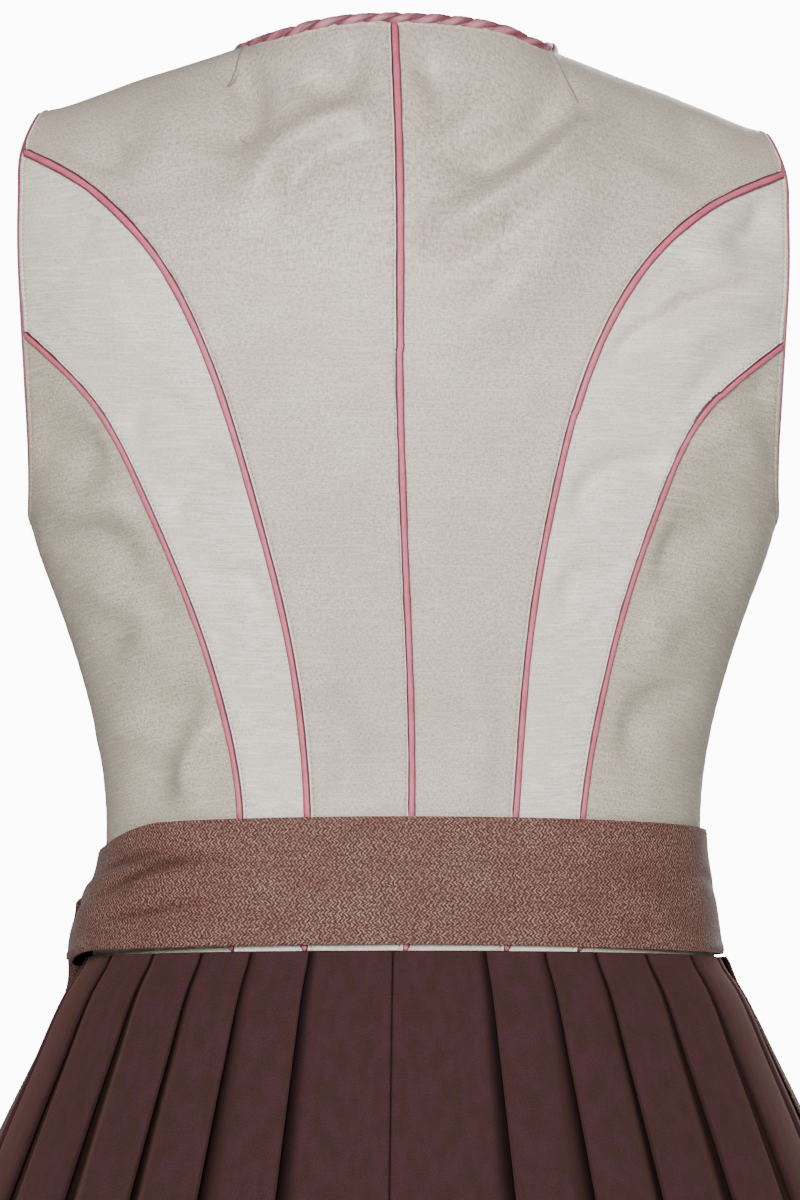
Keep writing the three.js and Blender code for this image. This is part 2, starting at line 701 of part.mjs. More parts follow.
// The braid that finishes the whole neckline: two strands twisted together.
const BRAID_SIDES = 6;
const mirrored = (places) => places.map((p) => placed(p, -1));
const neckPlaces = [
  ...mirrored(backNeck("right").reverse()).slice(0, -1),
  ...backNeck("left").map((p) => placed(p, 1)).slice(0, -1),
  ...frontNeck("left").reverse().map((p) => placed(p, 1)).slice(0, -1),
  ...mirrored(frontNeck("right")).slice(0, -1),
];
const neckMiddle = new THREE.Vector3(0, -20, -20);
const braid = edgeLoop(neckPlaces, neckMiddle, BRAID_RADIUS + SEAM_GAP, BRAID_PARTS);
const braidRun = [0];
braid.points.slice(1).forEach((p, i) => braidRun.push(braidRun[i] + p.distanceTo(braid.points[i])));
const braidTwists = Math.round(braidRun[braidRun.length - 1] / BRAID_TURN);
const braidShape = (i) => {
  const twist = (braidRun[i] / braidRun[braidRun.length - 1]) * braidTwists * 2 * Math.PI;
  return Array.from({ length: BRAID_SIDES }, (_, k) => {
    const turn = (k / BRAID_SIDES) * 2 * Math.PI;
    const radius = BRAID_RADIUS * (0.86 + 0.14 * Math.cos(2 * turn - twist));
    return [radius * Math.cos(turn), radius * Math.sin(turn)];
  });
};
add("neck_braid", sweep(braid.points, braid.normals, braidShape, true), pink);

// Skirt: pleated cloth round rings that widen to the hem.
function skirtRing(z) {
  const value = (column) => along(SKIRT, "z", z, column);
  return {
    half: value("half"),
    back: value("back"),
    front: value("front"),
    stand: value("stand"),
    tuck: value("tuck"),
  };
}

// Point on a ring moved out along its normal, and the ring's millimetres per degree there.
function skirtPoint(ring, angle, out, z) {
  const at = (a) => ringPoint(ring.half, ring.back, ring.front, a);
  const here = at(angle);
  const before = at(angle - 0.5);
  const after = at(angle + 0.5);
  const step = Math.hypot(after.x - before.x, after.y - before.y);
  const nx = (before.y - after.y) / step;
  const ny = (after.x - before.x) / step;
  return { point: new THREE.Vector3(here.x + nx * out, here.y + ny * out, z), step };
}

// Folded line of one side of the skirt at a height, from the centre back to the side seam fold, or
// from that fold to the centre front, as places of [angle, stand out].
function pleatLine(ring, part, side) {
  const shift = PLEAT_SHIFT * side;
  const edges = PLEAT_EDGES.map((e) => e + shift);
  const perDegree = (a) => skirtPoint(ring, a, 0, 0).step;
  const grown = ring.stand - STAND_AT_WAIST;
  const low = grown * PLEAT_OPENING;
  const back = ring.stand / 2 - low;
  const fore = ring.stand / 2 + low;
  const line = [];
  const foldUnder = (edge) => {
    const tuck = ring.tuck / perDegree(edge);
    line.push([edge, 0], [edge + tuck, 0]);
  };
  const foldOver = (edge) => {
    const tuck = ring.tuck / perDegree(edge);
    line.push([edge + tuck, back], [edge, fore], [edge, ring.stand]);
    line.push([edge + tuck * PLEAT_FACE.flat, ring.stand * PLEAT_FACE.lie]);
  };
  if (part === "back") {
    const start = CENTRE_BACK_SEAM * side;
    const gap = (SEAM_GAP + 0.1) / 2 / perDegree(0);
    line.push([start + gap, 0], [(start + edges[0]) / 2, 0]);
    edges.slice(0, SIDE_SEAM_PLEAT + 1).forEach((edge, k) => {
      foldUnder(edge);
      if (k < SIDE_SEAM_PLEAT) foldOver(edge);
    });
    return line;
  }
  edges.slice(SIDE_SEAM_PLEAT).forEach((edge, k) => {
    if (k) foldUnder(edge);
    foldOver(edge);
  });
  const plain = edges[edges.length - 1] + FRONT_WAVES_FROM;
  for (let i = 1; i < FRONT_WAVES * 2; i += 1) {
    const angle = plain + ((180 - plain) * i) / (FRONT_WAVES * 2);
    line.push([angle, ring.stand - (i % 2 ? grown * FRONT_WAVE_SHARE : 0)]);
  }
  return line;
}

// Two rows of points, out and in, that give a folded line its wall.
function thicken(line, ring, side, heightAt, wall) {
  const flat = line.map(([angle, out]) => skirtPoint(ring, side * angle, out, heightAt(side * angle)));
  const heading = (a, b) => {
    const length = Math.hypot(b.x - a.x, b.y - a.y);
    return [(b.x - a.x) / length, (b.y - a.y) / length];
  };
  const last = flat.length - 1;
  const rows = { outer: [], inner: [] };
  flat.forEach(({ point }, i) => {
    const before = i ? heading(flat[i - 1].point, point) : heading(point, flat[1].point);
    const after = i < last ? heading(point, flat[i + 1].point) : before;
    const nx = -(before[1] + after[1]);
    const ny = before[0] + after[0];
    const length = Math.max(1e-6, Math.hypot(nx, ny));
    const unit = [nx / length, ny / length];
    const lean = Math.abs(unit[0] * -before[1] + unit[1] * before[0]);
    const reach = wall / 2 / Math.max(1 / MOST_MITRE, lean);
    rows.outer.push(new THREE.Vector3(point.x + unit[0] * reach, point.y + unit[1] * reach, point.z));
    rows.inner.push(new THREE.Vector3(point.x - unit[0] * reach, point.y - unit[1] * reach, point.z));
  });
  return rows;
}

// Height of the skirt's cloth at an angle, for a share of its length.
function skirtZ(angle, share) {
  const top = waistZ(angle) - 0.05;
  return top + (HEM_Z - top) * share;
}

function skirtPiece(name, runs) {
  const rows = SKIRT_ROWS.map((share) => {
    const ring = skirtRing(skirtZ(60, share));
    const parts = runs.map(({ part, side }) => {
      const line = pleatLine(ring, part, side);
      return thicken(line, ring, side, (angle) => skirtZ(angle, share), SKIRT_WALL);
    });
    if (parts.length === 1) return parts[0];
    const [first, second] = parts;
    // The second run is walked back, so its out and in change over.
    return {
      outer: [...first.outer, ...[...second.inner].reverse()],
      inner: [...first.inner, ...[...second.outer].reverse()],
    };
  });
  add(name, wallBetween(rows.map((r) => r.outer), rows.map((r) => r.inner)), chocolate);
}

skirtPiece("skirt_back_left", [{ part: "back", side: 1 }]);
skirtPiece("skirt_back_right", [{ part: "back", side: -1 }]);
skirtPiece("skirt_front", [
  { part: "front", side: 1 },
  { part: "front", side: -1 },
]);

// Apron cloth: gathered at the band, and hanging clear of the skirt's pleats.
function apronOut(ring, angle, share) {
  const half = APRON_GATHER.top + (APRON_GATHER.hem - APRON_GATHER.top) * Math.sqrt(share);
  const wave = Math.cos(radians(angle - 180) * ((APRON_WAVES * 360) / (360 - 2 * APRON_START)));
  const clear = APRON_CLEAR.waist + (APRON_CLEAR.hem - APRON_CLEAR.waist) * share;
  return ring.stand + SKIRT_WALL / 2 + clear + APRON_WALL / 2 + half * (1 + wave);
}

// Its rows lie at the heights of the skirt's rows, between the band and its own hem.
const apronRows = [0, ...SKIRT_ROWS.slice(1, -1), 1].map((share) => {
  const level = share < 1 ? skirtZ(60, share) : APRON_HEM_Z;
  const ring = skirtRing(share === 0 ? level - APRON_TOP_DROP : level);
  const height = (angle) => {
    if (share === 0) return bandLowZ(angle) - SEAM_GAP;
    return share < 1 ? skirtZ(angle, share) : APRON_HEM_Z;
  };
  const line = Array.from({ length: APRON_WAVES * 4 + 1 }, (_, i) => {
    const angle = APRON_START + ((360 - 2 * APRON_START) * i) / (APRON_WAVES * 4);
    return [angle, apronOut(ring, angle, share)];
  });
  return thicken(line, ring, 1, height, APRON_WALL);
});
add("apron_cloth", wallBetween(apronRows.map((r) => r.outer), apronRows.map((r) => r.inner)), rosewood);

// Apron band: a ring round the waist, over the bodice and the ends of the piping.
function bandOut(angle, share) {
  const s = Math.sin(radians(angle));
  const left = Math.max(0, s) ** 2 * along(BAND_LEFT, "share", share, "out");
  const front = ((1 - Math.cos(radians(angle))) / 2) * BAND_OFFSET_FRONT * share ** 2;
  return BAND_OFFSET - BAND_SIDE_IN * s * s + left + front;
}

function bandPoint(angle, share, out) {
  const z = bandTopZ(angle) + (bandLowZ(angle) - bandTopZ(angle)) * share;
  return body(angle, z).addScaledVector(bodyNormal(angle, z), bandOut(angle, share) + out);
}

const BAND_COLUMNS = 56;
const BAND_SHARES = [0, 0.25, 0.5, 0.75, 1];
const bandLayer = (out) =>
  BAND_SHARES.map((share) =>
    Array.from({ length: BAND_COLUMNS }, (_, i) => bandPoint((360 * i) / BAND_COLUMNS, share, out)),
  );
add("apron_band", wallBetween(bandLayer(BAND_WALL / 2), bandLayer(-BAND_WALL / 2), true), rosewood);

// Place beside the bow: `aside` millimetres round the band from the knot's middle, at a height and
// a distance out from the middle of the band's wall.
function onBand(aside, z, out) {
  const angle = BOW_ANGLE + aside / BAND_REACH;
  const top = bandTopZ(angle);
  return bandPoint(angle, (top - z) / (top - bandLowZ(angle)), out);
}

// Rounded block from a stack of rings.
function closedStack(rows) {
  const sides = rows[0].length;
  const points = rows.flat();
  const index = [];
  for (let j = 0; j + 1 < rows.length; j += 1) {
    for (let k = 0; k < sides; k += 1) {
      const l = (k + 1) % sides;
      const [a, b] = [j * sides, (j + 1) * sides];
      index.push(a + k, a + l, b + l, a + k, b + l, b + k);
    }
  }
  const top = (rows.length - 1) * sides;
  for (let k = 1; k + 1 < sides; k += 1) index.push(0, k + 1, k, top, top + k, top + k + 1);
  return solid(points, index);
}

// Knot: the tie wrapped once round itself, rounded at its top and bottom.
const KNOT_ROWS = 6;
const KNOT_SIDES = 10;
const KNOT_END = 0.45; // width of its ends, as a share of the whole
const bulge = (value) => Math.sign(value) * Math.abs(value) ** 0.7;
const knotRows = Array.from({ length: KNOT_ROWS + 1 }, (_, j) => {
  const up = (2 * j) / KNOT_ROWS - 1;
  const round = KNOT_END + (1 - KNOT_END) * (1 - up ** 4) ** 0.25;
  return Array.from({ length: KNOT_SIDES }, (__, k) => {
    const turn = (k / KNOT_SIDES) * 2 * Math.PI;
    const wide = (KNOT.wide / 2) * round * bulge(Math.cos(turn));
    const deep = (KNOT.deep / 2) * (1 + round * bulge(Math.sin(turn)));
    return onBand(wide, BOW_Z + (up * KNOT.tall) / 2, BAND_WALL / 2 + KNOT.clear + deep);
  });
});
add("bow_knot", closedStack(knotRows), rosewood);

// Strip of tie cloth along its middle line. `across(i)` gives its whole width there as a vector.
const TIE_PARTS = 3;
function tieStrip(middles, across) {
  const layer = (h) =>
    middles.map((middle, i) => {
      const next = middles[Math.min(i + 1, middles.length - 1)];
      const last = middles[Math.max(i - 1, 0)];
      const wide = across(i);
      const normal = new THREE.Vector3().crossVectors(next.clone().sub(last), wide).normalize();
      return Array.from({ length: TIE_PARTS + 1 }, (__, k) =>
        middle.clone().addScaledVector(wide, k / TIE_PARTS - 0.5).addScaledVector(normal, h),
      );
    });
  return wallBetween(layer(BAND_WALL / 2), layer(-BAND_WALL / 2));
}

// Loops of the bow: the tie runs out from the knot and back in front of itself.
const LOOP_STEPS = 16;
const LOOP_SPREAD = 1.6; // how soon the loop's cloth opens to its full width
for (const { name, way } of [
  { name: "left", way: -1 },
  { name: "right", way: 1 },
]) {
  const turns = Array.from({ length: LOOP_STEPS + 1 }, (_, i) => (i / LOOP_STEPS) * Math.PI);
  const run = (turn) => Math.max(0, Math.sin(turn)) ** 0.8;
  const at = (turn, rise) => {
    const aside = way * (KNOT.wide / 2 + LOOP.clear + LOOP.length * run(turn));
    const round = (1 - Math.cos(turn)) / 2;
    const out = LOOP.start + LOOP.step * round + (LOOP.deep - LOOP.step) * round * run(turn);
    return onBand(aside, BOW_Z - LOOP.droop * run(turn) + rise, out);
  };
  const middles = turns.map((turn) => at(turn, 0));
  const across = (i) => {
    const width = LOOP.narrow + (TIE_WIDTH - LOOP.narrow) * Math.min(1, run(turns[i]) * LOOP_SPREAD);
    return at(turns[i], width / 2).sub(at(turns[i], -width / 2)).setLength(width);
  };
  add(`bow_loop_${name}`, tieStrip(middles, across), rosewood);
}

// Tails of the tie: two flat ends that hang down over the apron, one lying over the other.
const TAIL_STEPS = 12;
const TAIL_SPREAD = 2.5; // how soon each tail opens to its full width
const TAIL_SHORTER = 12; // millimetres less for each one that the upper tail lies over the other
const TAIL_LAP = 8; // how soon the upper tail is clear of the lower
for (const { name, way, over } of [
  { name: "left", way: -1, over: 0 },
  { name: "right", way: 1, over: TAIL.over },
]) {
  const top = BOW_Z - KNOT.tall / 2 - TAIL.gap;
  const places = Array.from({ length: TAIL_STEPS + 1 }, (_, i) => {
    const t = i / TAIL_STEPS;
    return { t, z: top - (TAIL.length - TAIL_SHORTER * over) * t };
  });
  const at = ({ t, z }) => {
    const ring = skirtRing(z);
    const share = Math.max(0, (bandLowZ(BOW_ANGLE) - z) / (bandLowZ(180) - APRON_HEM_Z));
    const reach = skirtPoint(ring, BOW_ANGLE, 0, z).step;
    const angle = BOW_ANGLE + (way * (TAIL.narrow / 2 + TAIL.spread * t ** 0.6)) / reach;
    const lie = apronOut(ring, 180, share) + APRON_WALL / 2 + BAND_WALL / 2 + SEAM_GAP;
    const lift = TAIL.lift * Math.exp((z - top) / TAIL.fall);
    const out = lie + lift + over * Math.min(1, t * TAIL_LAP);
    return { ring, angle, point: skirtPoint(ring, angle, out, z).point };
  };
  const across = (i) => {
    const { ring, angle, point } = at(places[i]);
    const beside = skirtPoint(ring, angle + 1, 0, point.z).point;
    const here = skirtPoint(ring, angle, 0, point.z).point;
    const width = TAIL.narrow + (TIE_WIDTH - TAIL.narrow) * Math.min(1, places[i].t * TAIL_SPREAD);
    return beside.sub(here).setLength(width);
  };
  add(`bow_tail_${name}`, tieStrip(places.map((p) => at(p).point), across), rosewood);
}

export default dress;
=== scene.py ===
# The looks of a dirndl with its apron, seen from behind, filled out as it is worn.
# Lengths are millimetres in the wearer's frame, turned to metres where a mesh is made:
# +Z is up, the front faces -Y and +X is the wearer's left.
import math

import bpy
import numpy as np
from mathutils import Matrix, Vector


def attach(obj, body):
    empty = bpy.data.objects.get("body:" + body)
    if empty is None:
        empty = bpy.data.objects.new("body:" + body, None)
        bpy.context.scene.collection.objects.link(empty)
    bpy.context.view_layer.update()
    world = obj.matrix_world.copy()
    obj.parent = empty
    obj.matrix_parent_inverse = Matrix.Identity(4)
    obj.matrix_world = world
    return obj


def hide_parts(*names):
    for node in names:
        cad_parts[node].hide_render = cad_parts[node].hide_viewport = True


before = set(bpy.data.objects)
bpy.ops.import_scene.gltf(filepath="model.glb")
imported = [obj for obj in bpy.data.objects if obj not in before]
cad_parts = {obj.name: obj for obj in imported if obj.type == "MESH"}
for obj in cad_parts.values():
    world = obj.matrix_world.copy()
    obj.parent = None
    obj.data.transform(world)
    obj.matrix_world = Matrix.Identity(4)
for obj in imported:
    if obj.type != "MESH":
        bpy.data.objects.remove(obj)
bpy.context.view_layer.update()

# The figure that the dress is cut for: a smooth closed form of rings with a half width and two
# depths, rounded over into the shoulders. Every panel is a stretch of it, given as an angle from
# the centre back and a height.
MM = 0.001


def rows_of(names, *values):
    """A table, its rows as dicts under the names of the columns."""
    return [dict(zip(names.split(), row)) for row in values]


YOKE_Z = -110.0
YOKE_RISE = 110.0
YOKE_ROUNDNESS = 2.4
SQUARENESS = 0.18
SHOULDER_LEAN = 0.029
UNDERARM_Z = -206.0
WAIST_Z = -392.3
WAIST_DIP = 9.4
SEAM_GAP = 0.3
SEAM_MEET = 0.04  # by how much two sewn edges pass each other, so that a seam stays closed
BODY = rows_of(
    "z half back front",
    (-402, 136.5, 92, 98), (-375, 133.3, 88, 95), (-345, 129.8, 84.5, 93), (-320, 130.8, 85, 97),
    (-295, 135, 87.5, 106), (-270, 141.7, 91.5, 114), (-245, 150, 94.5, 118), (-220, 159.3, 97, 114.5),
    (UNDERARM_Z, 163.5, 98.3, 112), (-185, 170, 99.8, 107), (-150, 181, 101, 99), (YOKE_Z, 185, 100, 92),
    (-60, 185, 92, 80), (-20, 185, 80, 64), (20, 185, 66, 48), (60, 185, 50, 38),
)
BUST = dict(x=84.0, z=-252.0, rise=22.0, wide=58.0, tall=50.0)
SHOULDER = rows_of(
    "x z",
    (0, 50), (40, 31), (58, 11), (67, 2.6), (77, -1.4), (98, -8.7), (116, -14.8), (133, -21.6),
    (151, -28.3), (158, -30), (186, -42),
)


def along(table, key, at, column):
    """Value of a column at places in a table, on a smooth curve through its rows."""
    rows = sorted(table, key=lambda row: row[key])
    keys = np.array([row[key] for row in rows], float)
    values = np.array([row[column] for row in rows], float)
    at = np.clip(np.asarray(at, float), keys[0], keys[-1])
    i = np.clip(np.searchsorted(keys, at, side="right") - 1, 0, len(keys) - 2)
    step = np.diff(values) / np.diff(keys)
    slope = np.concatenate([step[:1], (step[:-1] + step[1:]) / 2, step[-1:]])
    span = keys[i + 1] - keys[i]
    t = (at - keys[i]) / span
    bend = 3 * step[i] - 2 * slope[i] - slope[i + 1]
    close = slope[i] + slope[i + 1] - 2 * step[i]
    return values[i] + span * t * (slope[i] + t * (bend + t * close))


def smooth(value, low, high):
    t = np.clip((np.asarray(value, float) - low) / (high - low), 0, 1)
    return t * t * (3 - 2 * t)


def body(angle, v):
    angle, v = np.broadcast_arrays(np.asarray(angle, float), np.asarray(v, float))
    turn = np.radians(angle)
    sine, cosine = np.sin(turn), np.cos(turn)
    u = np.sin(np.clip((v - YOKE_Z) / YOKE_RISE, 0, 1) * np.pi / 2)
    x = along(BODY, "z", np.minimum(v, YOKE_Z), "half") * sine
    z = np.where(v <= YOKE_Z, v, YOKE_Z + u * (along(SHOULDER, "x", np.abs(x), "z") - YOKE_Z))
    depth = np.where(cosine > 0, along(BODY, "z", z, "back"), along(BODY, "z", z, "front"))
    bust = np.exp(-(((np.abs(x) - BUST["x"]) / BUST["wide"]) ** 2) - ((z - BUST["z"]) / BUST["tall"]) ** 2)
    y = depth * cosine * (1 + SQUARENESS * sine**2) + np.minimum(cosine, 0) * BUST["rise"] * bust
    behind = np.where(cosine > 0, 1.0, -1.0)
    fall = np.clip(1 - u**YOKE_ROUNDNESS, 0, 1) ** (1 / YOKE_ROUNDNESS)
    y = y * fall - behind * SEAM_MEET * u**2
    return np.stack([x, y, z + SHOULDER_LEAN * x * smooth(z, -200, -60)], axis=-1)


def unit(vector):
    return vector / np.linalg.norm(vector, axis=-1, keepdims=True)


def outward(angle, v):
    """Unit vector out of the figure."""
    high = np.minimum(np.asarray(v, float) + 0.8, -0.01)
    across = body(angle + 0.4, v) - body(angle - 0.4, v)
    up = body(angle, high) - body(angle, high - 1.6)
    return unit(-np.cross(across, up))


def on_body(place):
    """Points of the figure at chart places, and the directions out of it."""
    return body(place[..., 0], place[..., 1]), outward(place[..., 0], place[..., 1])


def waist_z(angle):
    return WAIST_Z - WAIST_DIP * (1 - np.cos(np.radians(angle))) / 2


def chart(x, z, front=False):
    neck = along(SHOULDER, "x", np.abs(x), "z")
    u = np.clip((z - YOKE_Z) / (neck - YOKE_Z), 0, 1)
    v = np.where(z <= YOKE_Z, z, YOKE_Z + YOKE_RISE * 2 * np.arcsin(u) / np.pi)
    half = along(BODY, "z", np.minimum(z, YOKE_Z), "half")
    angle = np.degrees(np.arcsin(np.clip(x / half, -1, 1)))
    return (180 - angle if front else angle), v


# The camera, behind the wearer and looking slightly up, as the photograph does.
# The frame is 528 mm high where it crosses the wearer, 0.44 mm to a pixel.
CAMERA = dict(x=1.5, y=2600.0, z=-335.0, aim_z=-240.0, view=528.0)
camera = bpy.data.objects.new("camera", bpy.data.cameras.new("camera"))
bpy.context.collection.objects.link(camera)
camera.location = Vector((CAMERA["x"], CAMERA["y"], CAMERA["z"])) * MM
aim = Vector((CAMERA["x"], 0, CAMERA["aim_z"])) * MM - camera.location
camera.rotation_euler = aim.to_track_quat("-Z", "Y").to_euler()
camera.data.sensor_fit = "VERTICAL"
camera.data.angle = 2 * math.atan(CAMERA["view"] / 2 / (aim.length / MM))
camera.data.clip_start = 0.1
camera.data.clip_end = 50
bpy.context.scene.camera = camera


# Bodice panels of shantung, a silk with uneven weft threads that show as short level streaks.
# Six back panels and four front ones, lined, each edge nearer the middle lapped over the piping
# and stitched down; the wall is thin and the lap stands a thread or two proud.
SEAM_DRIFT = rows_of(
    "z x",
    (-400, -0.6), (-330, -3.6), (-290, -3.3), (-208, -0.2), (-150, 1.5), (-60, 2), (10, 4.2),
)
# Seams, armholes and necklines, drawn as places (x, z) of the left side.
BACK_INNER_SEAM = [
    (42.8, -393), (44.4, -330), (50.2, -267), (61.9, -208), (78.9, -148), (101, -103), (130.6, -71.4),
    (165, -51),
]
BACK_OUTER_SEAM = [
    (74, -393), (73.2, -330), (85.9, -266.5), (106.8, -207), (129, -162), (163.3, -128.5),
]
FRONT_SEAM = [
    (60, -400), (66, -335), (86, -255), (99, -220), (119, -182), (142.5, -142),
]
BACK_ARMHOLE = [
    (163.5, UNDERARM_Z), (161.8, -192), (161.3, -172), (162.3, -146), (163.3, -128.5), (165.2, -95),
    (165.4, -70), (165, -51), (158, -30),
]
FRONT_ARMHOLE = [
    (163.5, UNDERARM_Z), (156, -184), (146.5, -158), (142.5, -142), (141, -122), (143, -90), (149, -56),
    (158, -30),
]
NECK_TOP = 8.0
YOKE_ROW_Z = -66.0  # the centre back's row that is level with the inner seams' ends
BACK_NECK = dict(
    left=[
        (0, NECK_TOP), (20, 7.5), (38, 4.6), (49, 1.6), (64, -0.4), (71, -0.8), (74.5, 0.4),
    ],
    right=[
        (0, NECK_TOP), (20, 7.8), (39, 6.2), (48, 4.2), (55, 1.6), (62, 0.2), (67, 2.7),
    ],
)
FRONT_NECK_Z = -150.0
FRONT_NECK = dict(
    left=[
        (0, FRONT_NECK_Z), (34, -147.5), (60, -136), (73, -112), (77, -80), (77, -40), (74.5, 0.4),
    ],
    right=[
        (0, FRONT_NECK_Z), (34, -147.5), (60, -136), (72, -112), (74.5, -80), (72, -40), (67, 2.7),
    ],
)
FINE = 8  # steps of an edge here to each step of its solid
SEAM_STEPS = 12 * FINE
FRONT_STEPS = 10 * FINE
SIDES = (("left", 1), ("right", -1))
NECK_POINT = dict(left=74.5, right=67.0)
SHOULDER_TIP = 158.0
EDGE_STEPS = np.array([0, 0.25, 0.6, 0.95, 1.3, 1.7, 2.1, 2.8, 4.2, 6.4])  # rows crowded at a sewn edge
PANEL_PITCH = 2.6
PATTERN_RADIUS = 128  # of the figure on the average, for laying the cloth's pattern round it
PATTERN_STEP = 997.0  # moves each panel to another stretch of the cloth
SEAM_REACH = 10  # the silk's ramps of painted highlight and shade beside a seam run this far
FAR_OFF = 99.0
CLOTH_OUT = 0.7
CLOTH_IN = -0.5


def lengths(points, axis):
    """Running length along an axis of a grid of points."""
    step = np.linalg.norm(np.diff(points, axis=axis), axis=-1)
    pad = [(0, 0)] * step.ndim
    pad[axis] = (1, 0)
    return np.pad(np.cumsum(step, axis=axis), pad)


def drawn(line):
    """Dense points [x, z, share of length] on the smooth curve through a drawn line."""
    p = np.array(line, float)
    last = len(p) - 1
    t = np.linspace(0, last, 900)
    i = np.minimum(t.astype(int), last - 1)
    w = (t - i)[:, None]
    p0 = p[np.maximum(i - 1, 0)]
    p0 = np.where((i == 0)[:, None], p[0], p0)
    p1, p2, p3 = p[i], p[i + 1], p[np.minimum(i + 2, last)]
    a, b = (p2 - p0) / 2, (p3 - p1) / 2
    curve = (2 * p1 - 2 * p2 + a + b) * w**3 + (3 * p2 - 3 * p1 - 2 * a - b) * w**2 + a * w + p1
    run = lengths(curve, 0)
    return np.column_stack([curve, run / run[-1]])


def share_at(line, z):
    curve = drawn(line)
    return curve[np.argmin(np.abs(curve[:, 1] - z)), 2]


def traced(line, count, side, front=False, start=0.0, end=1.0, drift=False, shift=0.0):
    """Chart places [angle, height] along a drawn line, on one side of the dress."""
    curve = drawn(line)
    share = np.linspace(start, end, count + 1)
    x = np.interp(share, curve[:, 2], curve[:, 0])
    z = np.interp(share, curve[:, 2], curve[:, 1])
    carried = along(SEAM_DRIFT, "z", z, "x") * (1 - smooth(x, 110, 160)) if drift else 0 * z
    return placed(*chart(x, z, front), side, carried, shift)


def placed(angle, v, side, carried=0.0, shift=0.0):
    reach = along(BODY, "z", np.minimum(v, YOKE_Z), "half")
    reach = reach * np.maximum(0.35, np.abs(np.cos(np.radians(angle))))
    moved = side * (angle + np.degrees(shift / reach)) + np.degrees(carried / reach)
    return np.stack(np.broadcast_arrays(moved, v), axis=-1)


def centre_line(high, count, side, front=False, shift=0.0):
    low = waist_z(180 if front else 0) + SEAM_GAP
    z = np.linspace(low, high, count + 1)
    if not front:
        z = np.interp(np.arange(count + 1), [0, count * 0.75, count], [low, YOKE_ROW_Z, high])
    carried = 0 * z if front else along(SEAM_DRIFT, "z", z, "x")
    return placed(*chart(0 * z, z, front), side, carried, shift)


def shoulder_line(name, side, front):
    x = np.linspace(NECK_POINT[name], SHOULDER_TIP, 8 * FINE + 1)
    return placed(*chart(x, 0 * x + SHOULDER[0]["z"], front), side)


def spread(width):
    """Shares across pieces of each width, crowded at both edges and even between them."""
    width = np.atleast_1d(np.asarray(width, float))[:, None]
    inner = max(3, int(round((width.max() - 2 * EDGE_STEPS[-1]) / PANEL_PITCH)))
    even = np.linspace(0, 1, inner + 2)[1:-1]
    start = EDGE_STEPS / width
    middle = start[:, -1:] + (1 - 2 * start[:, -1:]) * even
    return np.concatenate([start, middle, 1 - start[:, ::-1]], axis=1)


def sampled(at, run, grid):
    """Values of a grid's columns, known along `run`, at other places."""
    return np.stack([np.interp(at, run, column) for column in grid.T], axis=-1)


def joined(first, second):
    """Two edges in a row, the second one's start drawn over to the end of the first."""
    gap = first[-1] - second[0]
    fade = np.clip(1 - np.arange(len(second)) / FINE, 0, 1)[:, None]
    return np.concatenate([first, (second + gap * fade)[1:]])


def fill_edges(near, far, low, high, s, t):
    """Chart places inside four edges, for grids of shares across and up."""
    pick = lambda edge, at: sampled(at, np.linspace(0, 1, len(edge)), edge)
    s1, t1 = s[..., None], t[..., None]
    wide = pick(near, t) * (1 - s1) + pick(far, t) * s1
    tall = pick(low, s) * (1 - t1) + pick(high, s) * t1
    corner = (low[0] * (1 - s1) + low[-1] * s1) * (1 - t1) + (high[0] * (1 - s1) + high[-1] * s1) * t1
    return wide + tall - corner


def row_run(grid, row):
    """Running length across one row of a grid, given to all of its rows."""
    return lengths(grid, 1)[row][None].repeat(len(grid), axis=0)


def faces_of(*corners):
    return np.stack(corners, axis=-1).reshape(-1, 4)


def quads(index):
    """The faces of a grid of points."""
    return faces_of(index[:-1, :-1], index[:-1, 1:], index[1:, 1:], index[1:, :-1])


def lid(row, step):
    """Faces across the end of a tube or a lump, turned by the sign of `step`."""
    corners = [[row[k], row[k + 1], row[-2 - k], row[-1 - k]] for k in range(len(row) // 2 - 1)]
    return np.array(corners)[:, ::step]


def wall(outer, inner, ring=False):
    """Points and four-sided faces of the closed shell between two grids."""
    rows, columns = outer.shape[:2]
    index = np.arange(rows * columns).reshape(rows, columns)
    if ring:
        index = np.concatenate([index, index[:, :1]], axis=1)
    under = index + rows * columns
    faces = [
        quads(index),
        faces_of(under[:-1, :-1], under[1:, :-1], under[1:, 1:], under[:-1, 1:]),
        faces_of(under[0, :-1], under[0, 1:], index[0, 1:], index[0, :-1]),
        faces_of(index[-1, :-1], index[-1, 1:], under[-1, 1:], under[-1, :-1]),
    ]
    if not ring:
        faces.append(faces_of(index[:-1, 0], index[1:, 0], under[1:, 0], under[:-1, 0]))
        faces.append(faces_of(under[:-1, -1], under[1:, -1], index[1:, -1], index[:-1, -1]))
    return np.concatenate([outer.reshape(-1, 3), inner.reshape(-1, 3)]), np.concatenate(faces)


def twice(grid):
    """Values of a grid for both faces of its shell, in the order of wall's points."""
    return np.concatenate([grid, grid]).reshape(-1, 2)


